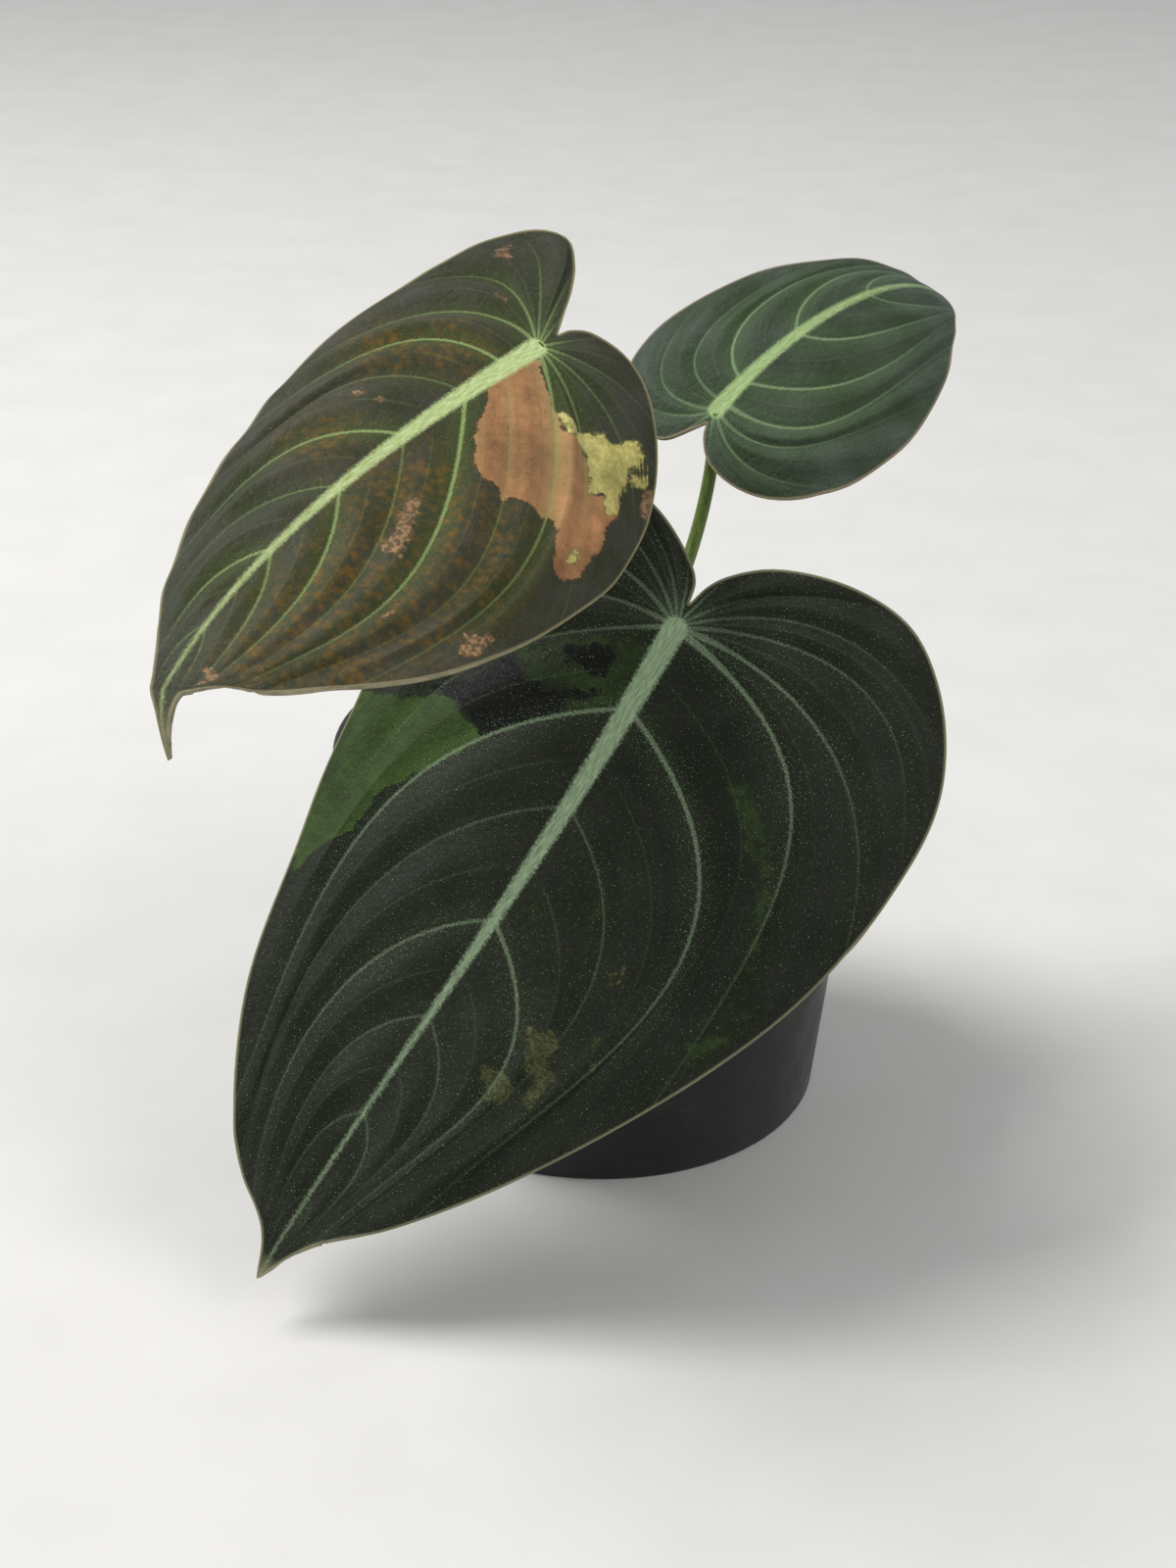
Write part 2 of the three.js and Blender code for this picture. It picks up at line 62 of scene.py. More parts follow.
# A leaf, in mm and degrees.
# midrib, drip: the midrib's curve in space, and that of a tip that hangs down.
# across, fold, bend: which way it spreads, how it folds at the midrib and curls from there.
# bulge, wave, ridge: the height of the quilting, of the margin's ripple and of the keel.
# margins, ribs: for the two halves, [out from the midrib, along it] for the margin, and
# [start on the midrib, lead angle, end on the margin, pull at start, pull at end] for each rib.
# veins: how strong each rib shows, from the sinus to the tip. burst: reach of their bright start.
# midrib_width: (along, half width). rows, columns: mesh rows from rib to rib, and columns out.
LEAVES = {
    "large": {
        "midrib": [[10.6, -28, 92.8], [-10.6, -46.7, 60.1], [-33.2, -60.6, 34.6], [-51.1, -72.8, 8]],
        "drip": [],
        "across": [[0.82, -0.45, -0.38], [0.84, -0.44, -0.32]],
        "fold": ([6, 6], [6, 6]), "bend": ([-0.5, -0.5], [-0.7, -1.1]),
        "bulge": 1.0, "wave": 0.7, "ridge": 1.1,
        "petiole": [[0.6, -4, 57], [2, -8, 84], [12, -14, 88], [10.6, -28, 92.8]],
        "petiole_radius": [2.3, 1.45],
        "margins": [
            [[0, -4], [1.2, -7.4], [3.3, -10.2], [9, -14.3], [21, -17.3], [30.8, -16.2], [39, -10],
             [45.2, -0.6], [47.6, 9.2], [45.4, 32.8], [38.5, 53], [24.4, 80.5], [13, 97],
             [4.5, 105.8], [0, 114.1]],
            [[0, -4], [0.9, -7.6], [5, -11.2], [11, -14.4], [18, -16], [28, -14.5], [36, -6],
             [40.5, 7], [42, 20], [41.3, 33], [35, 57], [26.3, 81.6], [12.6, 101.4], [3.5, 107.5],
             [0, 114.1]]],
        "ribs": [
            [[0, 180, 0, 0.33, 0], [0, 167, 7, 0.35, 0.2], [0, 148, 33, 0.43, 0.28],
             [0, 130, 58, 0.53, 0.34], [0, 114, 76, 0.66, 0.37], [0, 98, 88, 0.27, 0.52],
             [0, 79, 122.5, 0.51, 0.54], [14, 68, 161.5, 0.58, 0.43], [31, 64, 174.5, 0.46, 0.45],
             [51, 60, 176.5, 0.52, 0.46], [68, 57, 178.5, 0.44, 0.41], [85, 54, 181, 0.39, 0.33],
             [114.1, 50, 999, 0.3, 0.3]],
            [[0, 180, 0, 0.33, 0], [0, 173, 7.5, 0.37, 0.2], [0, 155, 24.5, 0.42, 0.28],
             [0, 137, 46.5, 0.46, 0.36], [0, 118, 65, 0.48, 0.41], [0, 93, 87, 0.39, 0.47],
             [0, 63, 114, 0.52, 0.46], [14, 58, 152.5, 0.58, 0.26], [31, 56, 162, 0.52, 0.22],
             [51, 55, 168, 0.5, 0.23], [68, 55, 171.5, 0.45, 0.29], [85, 51, 173.5, 0.39, 0.29],
             [114.1, 50, 999, 0.3, 0.3]]],
        "veins": ([0, 0.3, 0.3, 0.35, 0.45, 0.9, 1, 0.95, 0.35, 0.75, 0.3, 0.35, 0],
                  [0, 0.35, 0.45, 0.4, 0.55, 0.5, 0.4, 0.85, 0.3, 0.6, 0.35, 0.3, 0]),
        "vein_width": 0.66, "burst": 7,
        "midrib_width": [(0, 1.9), (20, 1.45), (50, 0.85), (70, 0.45), (85, 0.28), (114, 0.1)],
        "rows": 20, "columns": 92,
    },
    "left": {
        "midrib": [[-9.8, -24, 134.2], [-26.4, -43.8, 129.4], [-47, -64.6, 120.1], [-56.9, -79.9, 105.3]],
        "drip": [[-57, -84.5, 103.2], [-56, -85, 97.6]],
        "across": [[0.66, -0.4, -0.6], [0.92, -0.4, 0.06]],
        "fold": ([4, 4], [0, 0]), "bend": ([-0.9, -0.9], [-1.5, -1.5]),
        "bulge": 0.9, "wave": 0.6, "ridge": 0.9,
        "petiole": [[-1.5, 3.6, 60], [-1, 20, 95], [-4, -4, 127], [-9.8, -24, 134.2]],
        "petiole_radius": [2, 1.25],
        "margins": [
            [[0, -4.5], [0.4, -6.8], [2.2, -9.1], [7.8, -11.1], [14.8, -9.9], [22.5, -5.2], [30, 3.6],
             [34, 16.2], [34.6, 26], [33.2, 44], [28.3, 59.4], [18.5, 71], [8.5, 77], [2.6, 80.6],
             [1.1, 84], [0, 89]],
            [[0, -4.5], [2.3, -8.6], [4.7, -12.9], [8.1, -17.5], [12.4, -20.7], [17, -18.8],
             [20.5, -12], [21.3, -2], [23.5, 12.4], [23.6, 25], [18.5, 41.5], [15.7, 52], [9.9, 66.2],
             [4, 75], [1.1, 82], [0, 89]]],
        "ribs": [
            [[0, 180, 0, 0.33, 0], [0, 161, 7.5, 0.33, 0.2], [0, 135, 23.5, 0.4, 0.3],
             [0, 111, 45.5, 0.42, 0.38], [0, 88, 69.5, 0.28, 0.47], [0, 61, 106, 0.53, 0.26],
             [7, 50, 119, 0.61, 0.28], [15.5, 41, 124, 0.65, 0.24], [28, 40, 126.5, 0.6, 0.2],
             [41, 40, 128.5, 0.54, 0.15], [55, 38, 129.5, 0.45, 0.15], [69, 34, 131.5, 0.4, 0.1],
             [80.5, 28, 134, 0.3, 0.1], [89, 20, 999, 0.3, 0.1]],
            [[0, 180, 0, 0.33, 0], [0, 169, 4.5, 0.3, 0.15], [0, 152, 14.5, 0.26, 0.13],
             [0, 139, 31, 0.57, 0.29], [0, 126, 51, 0.72, 0.53], [0, 101, 73.5, 0.33, 0.39],
             [7, 86, 86, 0.42, 0.42], [15.5, 70, 97, 0.51, 0.45], [28, 60, 110, 0.48, 0.4],
             [41, 50, 120, 0.42, 0.4], [55, 46, 126, 0.4, 0.35], [69, 40, 130.5, 0.4, 0.25],
             [80.5, 28, 134, 0.3, 0.1], [89, 20, 999, 0.3, 0.1]]],
        "veins": ([0, 0.3, 0.4, 0.45, 0.6, 0.8, 0.35, 1, 0.35, 0.75, 0.6, 0.35, 0.2, 0],
                  [0, 0.3, 0.5, 0.4, 0.6, 0.7, 0.9, 0.35, 0.85, 0.4, 0.75, 0.35, 0.2, 0]),
        "vein_width": 0.5, "burst": 5,
        "midrib_width": [(0, 1.5), (15, 1.25), (30, 0.95), (60, 0.42), (80, 0.15), (89, 0.05)],
        "rows": 16, "columns": 80,
    },
    "small": {
        "midrib": [[17.8, 10, 114.1], [28.2, 15.2, 125.6], [47.6, 25.8, 135.9], [58, 44.2, 122.3]],
        "drip": [],
        "across": [[-0.68, 0.52, 0.46], [-0.58, 0.42, 0.78]],
        "fold": ([0, -24], [6, 6]), "bend": ([-1.4, -1.2], [-0.6, -0.6]),
        "bulge": 0.7, "wave": 0.3, "ridge": 0.7,
        "petiole": [[1.6, 2, 70], [11.5, 4.5, 79], [17.6, 8.5, 99], [17.8, 10, 114.1]],
        "petiole_radius": [1.6, 1.05],
        "margins": [
            [[0, -2.5], [1.4, -5], [4.1, -8.8], [8.5, -9.2], [13.5, -7.2], [17.6, -4], [19.2, 3],
             [18, 12], [15, 21.5], [11.8, 29.3], [8.6, 37.5], [5.2, 47.5], [0, 59]],
            [[0, -2.5], [1.3, -4.7], [4.5, -7.2], [9.5, -7.9], [15, -6.5], [20.2, -2.5], [24.1, 4.2],
             [25.4, 14], [24.6, 22], [19.6, 35], [12.2, 45.5], [6, 53], [0, 59]]],
        "ribs": [
            [[0, 180, 0, 0.33, 0], [0, 162, 4.5, 0.34, 0.19], [0, 143, 21.5, 0.45, 0.34],
             [0, 117, 42, 0.66, 0.49], [1.8, 95, 61, 0.52, 0.45], [6.2, 78, 75.5, 0.39, 0.26],
             [18, 54, 83, 0.36, 0.25], [33, 48, 85.5, 0.33, 0.25], [59, 45, 999, 0.3, 0.3]],
            [[0, 180, 0, 0.33, 0], [0, 160, 7, 0.35, 0.21], [0, 131, 30, 0.48, 0.36],
             [0, 105, 61.5, 0.48, 0.4], [1.8, 89, 76, 0.52, 0.32], [6.2, 64, 86, 0.5, 0.27],
             [18, 58, 89, 0.35, 0.25], [33, 52, 90.5, 0.32, 0.22], [59, 45, 999, 0.3, 0.3]]],
        "veins": ([0, 0.5, 0.6, 0.6, 0.5, 0.9, 0.8, 0.6, 0], [0, 0.5, 0.6, 0.6, 0.9, 0.9, 0.9, 0.6, 0]),
        "vein_width": 0.48, "burst": 4,
        "midrib_width": [(0, 1.4), (8, 1.0), (40, 0.42), (59, 0.15)],
        "rows": 20, "columns": 64,
    },
}

# Coloured areas as outlines on the flat leaf, mm: [out from the midrib, along it],
# plus on the first half and minus on the second
PATCHES = {
    "large": {
        "broad_patch": [
            [(-41, 32.5), (-40, 42), (-34, 59.5), (-32, 63), (-30, 57), (-27, 51.5), (-26.5, 44.5),
             (-16, 28), (-22, 27.5), (-23.5, 26), (-27.5, 26.5), (-32, 30)],
        ],
        "inner_patch": [
            [(-28.5, 26), (-23.5, 22), (-20, 16), (-15.5, 18), (-9, 17), (-9, 20), (-17, 29), (-23.5, 26)],
            [(-13.5, 10.5), (-6.5, 7), (-5.5, 8.5), (-5.5, 11.5), (-8.5, 13), (-10, 11.5), (-12, 12.5)],
            [(-10.5, 16.5), (-5, 14), (-6.5, 16), (-9.5, 17.5)],
        ],
        "small_patch": [
            [(13.5, 61.5), (17.5, 59.5), (19, 61), (19, 64), (20.5, 64.5), (21.5, 71), (19, 70),
             (18.5, 67), (16, 65.5)],
            [(11, 69.5), (14, 68), (16.5, 69), (17, 72), (15.5, 73), (13, 72.5)],
            [(22.5, 58), (23, 57), (25, 61), (24.5, 62)],
            [(18.5, 46.5), (20.5, 47), (22, 49.5), (20.5, 49.5)],
        ],
        "hazy_patch": [
            [(-20, 14.5), (-11.5, 7.5), (-2, 3), (0, 13.5), (-2.5, 16.5), (-8.5, 20), (-9, 17),
             (-15.5, 18)],
            [(1.5, 46), (3.5, 45.5), (7.5, 47), (6, 49)],
            [(10, 43.5), (12.5, 41), (15, 43), (12.5, 44.5)],
            [(34, 51.5), (35.5, 47.5), (38, 45.5), (37.5, 42), (40.5, 41.5), (37.5, 52), (36, 53.5)],
            [(17.5, 16), (19, 15), (24.5, 16), (33, 25.5), (35.5, 32), (36.5, 40.5), (33.5, 33), (30, 26)],
            [(2, 15.5), (4, 14), (5.5, 16), (5, 17.5), (3, 17)],
        ],
    },
    "left": {
        "broad_patch": [
            [(1, 11), (6, 20), (10.5, 25), (12, 25.5), (13.5, 24), (16, 25), (17, 23), (21, 22),
             (22.5, 20.5), (28, 27.5), (30, 27), (30.5, 23.5), (29, 16), (27, 12.5), (27, 10), (24, 6.5),
             (22.5, 10.5), (15.5, 6), (13, 7.5), (4, 3.5), (2, 1.5), (0.5, 2.5)],
        ],
        "inner_patch": [
            [(9.5, 5.5), (11.5, 5), (13.5, 5.5), (16, 2), (18, 1.5), (18.5, -1.5), (20.5, -3), (22.5, -2),
             (22, 0), (23, 3.5), (25, 5), (24, 6.5), (26.5, 9.5), (25.5, 11.5), (23, 9.5), (22, 11.5),
             (18.5, 7.5), (15.5, 6.5), (12.5, 7.5)],
            [(26.5, 22), (27.5, 20), (28.5, 21), (28.5, 24)],
            [(22.5, 0.5), (25, -1), (25.5, 1), (24, 2.5)],
        ],
        "small_patch": [
            [(26, 2), (26, -1), (28, 0), (29.5, 3.5), (28.5, 4)],
            [(7.5, 35.5), (9.5, 35.5), (11, 38), (12.5, 41.5), (14, 43), (14.5, 46), (13, 44.5), (12, 46),
             (10.5, 44.5), (10.5, 41.5)],
            [(28, 51.5), (28, 46), (29, 47.5), (30, 44), (31, 45.5), (30.5, 51.5), (29.5, 53)],
            [(-17.5, -10.5), (-17.5, -13.5), (-14, -9.5), (-16.5, -9)],
            [(-10, -2), (-9, -2.5), (-8, -1.5)],
            [(-11.5, 28), (-10, 25.5), (-8.5, 26)],
            [(-7.5, 26.5), (-6.5, 25.5), (-6, 26.5)],
            [(18.5, 55), (19, 51), (19.5, 54.5)],
            [(1.5, 76), (5.5, 74.5), (6.5, 75), (5, 77.5), (4, 78), (4.5, 76)],
        ],
    },
    "small": {},
}

# Where the left leaf is freckled brown between its veins: [out, along, reach], mm
FRECKLES = [(11, 55, 9), (11, 50, 8), (11, 62, 8), (10, 70, 6), (17, 33, 9), (20, 41, 8), (22, 52, 7),
            (5, 38, 7), (7, 31, 6), (-8, 36, 6), (-14, 17, 6), (-7, 11, 6), (20, 64, 6)]


# Shapes

def unit(v):
    return v / np.linalg.norm(v, axis=-1, keepdims=True)


def smooth(low, high, value):
    k = np.clip((value - low) / (high - low), 0, 1)
    return k * k * (3 - 2 * k)


def bezier(points, t):
    t = np.asarray(t, float)[..., None]
    a, b, c, d = (np.asarray(p, float) for p in points)
    return (1 - t) ** 3 * a + 3 * (1 - t) ** 2 * t * b + 3 * (1 - t) * t * t * c + t ** 3 * d


def through(points, steps=40):
    """A smooth line through points that bends closer where they lie closer."""
    p = np.asarray(points, float)
    p = np.vstack([2 * p[0] - p[1], p, 2 * p[-1] - p[-2]])
    line = []
    for a, b, c, d in zip(p, p[1:], p[2:], p[3:]):
        k = np.cumsum([0] + [np.linalg.norm(v) ** 0.5 for v in (b - a, c - b, d - c)])
        t = np.linspace(k[1], k[2], steps, endpoint=False)[:, None]
        ab = ((k[1] - t) * a + (t - k[0]) * b) / (k[1] - k[0])
        bc = ((k[2] - t) * b + (t - k[1]) * c) / (k[2] - k[1])
        cd = ((k[3] - t) * c + (t - k[2]) * d) / (k[3] - k[2])
        abc = ((k[2] - t) * ab + (t - k[0]) * bc) / (k[2] - k[0])
        bcd = ((k[3] - t) * bc + (t - k[1]) * cd) / (k[3] - k[1])
        line.append(((k[2] - t) * abc + (t - k[1]) * bcd) / (k[2] - k[1]))
    return np.vstack(line + [p[-2:-1]])


def lengths(line):
    return np.concatenate([[0], np.cumsum(np.linalg.norm(np.diff(line, axis=0), axis=1))])


class Leaf:
    """A leaf's surface in space from its midrib, spread and curl."""

    def __init__(self, data):
        self.data = data
        line = bezier(data["midrib"], np.linspace(0, 1, 81))
        if data["drip"]:
            t = np.linspace(0, 1, 81)[1:, None]
            a, (b, c) = np.array(data["midrib"][3], float), np.array(data["drip"], float)
            line = np.vstack([line, (1 - t) ** 2 * a + 2 * (1 - t) * t * b + t * t * c])
        self.line, self.along = line, lengths(line)
        self.length = self.along[-1]

    def centre(self, y):
        y = np.asarray(y, float)
        spot = np.stack([np.interp(y, self.along, self.line[:, i]) for i in range(3)], -1)
        before = np.minimum(y, 0)[..., None] * unit(self.line[1] - self.line[0])
        beyond = np.maximum(y - self.length, 0)[..., None] * unit(self.line[-1] - self.line[-2])
        return spot + before + beyond

    def point(self, which, x, y, lift):
        """x out from the midrib on half 0 or 1, y along it, lifted off the leaf; mm."""
        # further out the leaf follows a sharp turn of its midrib more softly
        reach = 0.8 + (3.5 * smooth(1, 8, x) if self.data["drip"] else 0)
        way = unit(self.centre(y + reach) - self.centre(y - reach))
        k = np.clip(y / self.length, 0, 1)
        first, last = np.array(self.data["across"], float)
        across = first + (last - first) * k[..., None]
        across = unit(across - (across * way).sum(-1, keepdims=True) * way)
        up = np.cross(way, across)
        fold, bend = (np.radians(v[0] + (v[1] - v[0]) * k)
                      for v in (self.data["fold"][which], self.data["bend"][which]))
        slope = fold + bend * x
        out = (np.sin(slope) - np.sin(fold)) / bend
        rise = (np.cos(fold) - np.cos(slope)) / bend
        lean = slope * np.minimum(1, x / 3)
        side = (1 if which == 0 else -1) * (out - lift * np.sin(lean))
        return self.centre(y) + across * side[..., None] + up * (rise + lift * np.cos(lean))[..., None]

    def ends(self, which):
        """How far along the margin each rib ends."""
        run = lengths(through(self.data["margins"][which]))[-1]
        return np.minimum(np.array(self.data["ribs"][which], float)[:, 2], run)

    def rib(self, which, phase, s):
        """Points [out, along] on the line at a phase between ribs, s from 0 to 1 along it."""
        edge = through(self.data["margins"][which])
        run = lengths(edge)
        ribs = np.array(self.data["ribs"][which], float)
        ribs[:, 2] = self.ends(which)
        start, lead, end, pull, pull_end = (np.interp(phase, np.arange(len(ribs)), ribs[:, i])
                                            for i in range(5))
        at = [np.interp(end + d, run, edge[:, i]) for d in (-0.05, 0, 0.05) for i in (0, 1)]
        margin, way = np.array(at[2:4]), unit(np.array(at[4:]) - np.array(at[:2]))
        c, n = math.cos(math.radians(RIB_CLOSING)), math.sin(math.radians(RIB_CLOSING))
        arrive = np.array([way[0] * c + way[1] * n, way[1] * c - way[0] * n])
        begin = np.array([0, start])
        span = np.linalg.norm(margin - begin)
        aim = np.array([math.sin(math.radians(lead)), math.cos(math.radians(lead))])
        points = [begin, begin + aim * pull * span, margin - arrive * pull_end * span, margin]
        return bezier(points, s), span


def distance_to(line, spots):
    """Distance from each spot to a line of points, and how far along the nearest place is."""
    best = np.full(len(spots), 1e9)
    where = np.zeros(len(spots))
    for i, (a, b) in enumerate(zip(line, line[1:])):
        way = b - a
        k = np.clip(((spots - a) @ way) / max(way @ way, 1e-9), 0, 1)
        gap = np.linalg.norm(spots - a - k[:, None] * way, axis=1)
        near = gap < best
        best[near], where[near] = gap[near], (i + k[near]) / (len(line) - 1)
    return best, where


def depth_in(outline, spots):
    """How far inside a closed outline each spot is, minus when outside."""
    ring = np.array(outline + outline[:1], float)
    gap, _ = distance_to(ring, spots)
    inside = np.zeros(len(spots), bool)
    for (ax, ay), (bx, by) in zip(ring, ring[1:]):
        crosses = (ay > spots[:, 1]) != (by > spots[:, 1])
        with np.errstate(divide="ignore", invalid="ignore"):
            inside ^= crosses & (spots[:, 0] < (bx - ax) * (spots[:, 1] - ay) / (by - ay) + ax)
    return np.where(inside, gap, -gap)


def woven(name, places, values=None, flat=None, merge=1e-7):
    """A grid of places (rows, columns, 3) in mm as a mesh, with a number per point for each name in
    values and a UV map "leaf" from flat. Equal points are joined, so ends and poles close."""
    rows, columns = places.shape[:2]
    bm = bmesh.new()
    bmesh.ops.create_grid(bm, x_segments=columns - 1, y_segments=rows - 1, size=1)
    spots = np.array([v.co[:2] for v in bm.verts])
    column = np.rint((spots[:, 0] + 1) / 2 * (columns - 1)).astype(int)
    row = np.rint((spots[:, 1] + 1) / 2 * (rows - 1)).astype(int)
    mesh = bpy.data.meshes.new(name)
    bm.to_mesh(mesh)
    bm.free()
    mesh.vertices.foreach_set("co", (places[row, column] * MM).ravel())
    for key, value in (values or {}).items():
        mesh.attributes.new(key, "FLOAT", "POINT").data.foreach_set("value", value[row, column].ravel())
    if flat is not None:
        corner = np.zeros(len(mesh.loops), int)
        mesh.loops.foreach_get("vertex_index", corner)
        uv = mesh.uv_layers.new(name="leaf")
        uv.data.foreach_set("uv", flat[row, column][corner].ravel())
    bm = bmesh.new()
    bm.from_mesh(mesh)
    bmesh.ops.remove_doubles(bm, verts=bm.verts, dist=merge)
    bmesh.ops.dissolve_degenerate(bm, edges=bm.edges, dist=merge / 2)
    bm.to_mesh(mesh)
    bm.free()
    return mesh


def outward(mesh):
    bm = bmesh.new()
    bm.from_mesh(mesh)
    bmesh.ops.recalc_face_normals(bm, faces=bm.faces)
    for face in bm.faces:
        face.smooth = True
    bm.to_mesh(mesh)
    bm.free()


def joined(name, meshes):
    """One mesh from several, whose faces keep their material numbers."""
    bm = bmesh.new()
    for mesh in meshes:
        bm.from_mesh(mesh)
    whole = bpy.data.meshes.new(name)
    bm.to_mesh(whole)
    bm.free()
    return whole


def placed(name, mesh, materials, node):
    """A piece that stands for a node of the part."""
    thing = bpy.data.objects.new(name, mesh)
    bpy.context.scene.collection.objects.link(thing)
    for material in materials:
        mesh.materials.append(material)
    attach(thing, "root")
    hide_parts(node)
    return thing


def tube(name, line, radii, sides=28, crown=3):
    """A round tube along a line in mm, with rounded closed ends."""
    way = unit(np.gradient(line, axis=0))
    side = np.cross([0.31, 0.95, 0.07], way[0])
    loops = []
    angle = np.linspace(0, 2 * np.pi, sides + 1)
    ends = [(0, -k, math.sqrt(max(0, 1 - k * k))) for k in np.linspace(1, 0, crown + 1)[:-1]]
    body = [(i, 0, 1) for i in range(len(line))]
    far = [(len(line) - 1, k, math.sqrt(max(0, 1 - k * k))) for k in np.linspace(0, 1, crown + 1)[1:]]
    for i, step, share in ends + body + far:
        side = unit(side - side @ way[i] * way[i])
        other = np.cross(way[i], side)
        bulge = min(0.12, radii[i] * 0.2)
        ring = np.outer(np.cos(angle), side) + np.outer(np.sin(angle), other)
        loops.append(line[i] + way[i] * bulge * step + ring * radii[i] * share)
    mesh = woven(name, np.array(loops))
    outward(mesh)
    return mesh


def petiole_line(data):
    """A petiole's line and radii from inside the stem to its joint, and on from there to the leaf."""
    t = np.linspace(0, 1, 401)
    line = bezier(data["petiole"], t)
    length = lengths(line)[-1]
    foot, head = data["petiole_radius"]
    radii = head + (foot - head) * (1 - t) ** 3
    # a slight swelling 5 mm below the leaf
    radii = radii + 0.12 * np.exp(-(((1 - t) * length - 5) ** 2) / 8)
    grow = np.linspace(0, 1, 40)[:-1, None]
    root = np.array([0.2, 0.6, line[0][2] - 6])
    bend = line[0] - unit(line[1] - line[0]) * 2.5
    line = np.vstack([(1 - grow) ** 2 * root + 2 * (1 - grow) * grow * bend + grow ** 2 * line[0], line])
    radii = np.concatenate([np.linspace(foot * 0.75, radii[0], 40)[:-1], radii])
    joint = np.argmax(np.linalg.norm(line - line[-1], axis=1) < NECK_LENGTH)
    neck = radii[joint:] * (1 - 0.28 * np.linspace(0, 1, len(line) - joint))
    return (line[:joint], radii[:joint]), (line[joint:], neck)


def side_by_side(first, second):
    """Two halves of a blade as one grid, joined along the midrib."""
    return np.concatenate([second[:, :0:-1], first], axis=1)


def veins_at(leaf, which, spots):
    """At each spot: mm to the side of the nearest vein, how strong that vein shows, the pale glow
    beside the veins and how deep their groove is."""
    data = leaf.data
    gap = np.full(len(spots), 9.0)
    strength, glow, groove = np.zeros((3, len(spots)))
    fine = np.linspace(0, 1, 50)
    burst = np.exp(-(np.linalg.norm(spots, axis=1) / data["burst"]) ** 2)
    # a vein on each rib, and a faint one halfway to the next
    for step in range(2, 2 * len(data["ribs"][0]) - 2):
        faint = step % 2
        strong = data["veins"][which][step // 2] if not faint else 0.13
        line, reach = leaf.rib(which, step / 2, fine)
        away, share = distance_to(line, spots)
        width = data["vein_width"] / 2 * (0.25 + 0.9 * strong) * (1 - 0.75 * share ** 0.6)
        width = width * (1 + 1.1 * burst)
        fade = strong * (1 - 0.82 * smooth(0.12, 0.95, share)) * (smooth(0, 0.1, share) if faint else 1)
        fade = fade if faint else np.maximum(fade, 0.85 * burst)
        near = away - width < gap
        gap[near], strength[near] = (away - width)[near], fade[near]
        glow = np.maximum(glow, fade * np.exp(-(away / 2.6) ** 2))
        ends = smooth(0.01, 0.12, share) * (1 - smooth(0.85, 1, share))
        groove = np.maximum(groove, fade * ends * np.exp(-(away / (0.4 + width)) ** 2))
    glow = np.maximum(glow, np.exp(-(np.linalg.norm(spots, axis=1) / 4.5) ** 2))
    return gap, strength, glow, groove


def quilting(leaf, flat, phases, s, grown):
    """Height of the cushions between the ribs, which flatten out where ribs run close together."""
    last = len(leaf.data["ribs"][0]) - 2
    main = flat[::leaf.data["rows"]]
    apart = np.diff(main, axis=0)
    way = unit(np.gradient(main[:-1], axis=1) + 1e-9)
    room = smooth(0.8, 6, np.abs(apart[..., 0] * way[..., 1] - apart[..., 1] * way[..., 0]))
    middle = np.clip(phases - 0.5, 0, last)
    low = np.floor(middle).astype(int)
    k = (middle - low)[:, None]
    room = room[low] * (1 - k) + room[np.minimum(low + 1, last)] * k
    full = grown * smooth(0, 0.25, s) * (1 - 0.55 * smooth(0.7, 1, s))
    return leaf.data["bulge"] * full * room * (np.sin(np.pi * phases[:, None]) ** 2 - 0.35)


def rippling(leaf, which, phases):
    """The margin's up and down at each row, evened out over 6 mm so that close ribs make no kink."""
    reached = np.interp(phases, np.arange(len(leaf.data["ribs"][0])), leaf.ends(which))
    run = np.linspace(0, reached[-1], 300)
    ripple = np.sin(1.7 * np.interp(run, reached, phases))
    bell = np.exp(-(np.linspace(-12, 12, 2 * round(12 / run[1]) + 1) / 4) ** 2)
    return np.interp(reached, run, np.convolve(ripple, bell / bell.sum(), "same"))[:, None]


def from_midrib(data, spots):
    """Millimetres from each spot to the midrib's side, below nought on the midrib."""
    spread = np.array(data["midrib_width"], float)
    half_width = np.interp(spots[:, 1], spread[:, 0], spread[:, 1])
    below = np.minimum(spots[:, 1], 0)
    return np.hypot(spots[:, 0], below * 1.3) - half_width


def thickness(leaf, flat):
    """The blade's thickness, with the keel under its midrib."""
    along = np.clip(flat[..., 1] / leaf.length, 0, 1)
    keel = leaf.data["ridge"] * (1 - 0.75 * along) * np.exp(-(flat[..., 0] / 1.1) ** 2)
    return BLADE_THICKNESS + keel * smooth(-3, 0, flat[..., 1])


def patches_at(name, spots):
    """How deep each spot lies in each kind of patch, in mm, and how freckled it is."""
    values = {}
    for key in ("broad_patch", "inner_patch", "small_patch", "hazy_patch"):
        outlines = PATCHES[name].get(key, [])
        values[key] = np.max([depth_in(o, spots) for o in outlines] + [np.full(len(spots), -20.0)], 0)
    freckled = [np.exp(-((spots[:, 0] - x) ** 2 + (spots[:, 1] - y) ** 2) / r ** 2)
                for x, y, r in FRECKLES]
    values["freckled"] = np.max(freckled, 0) if name == "left" else np.zeros(len(spots))
    return values


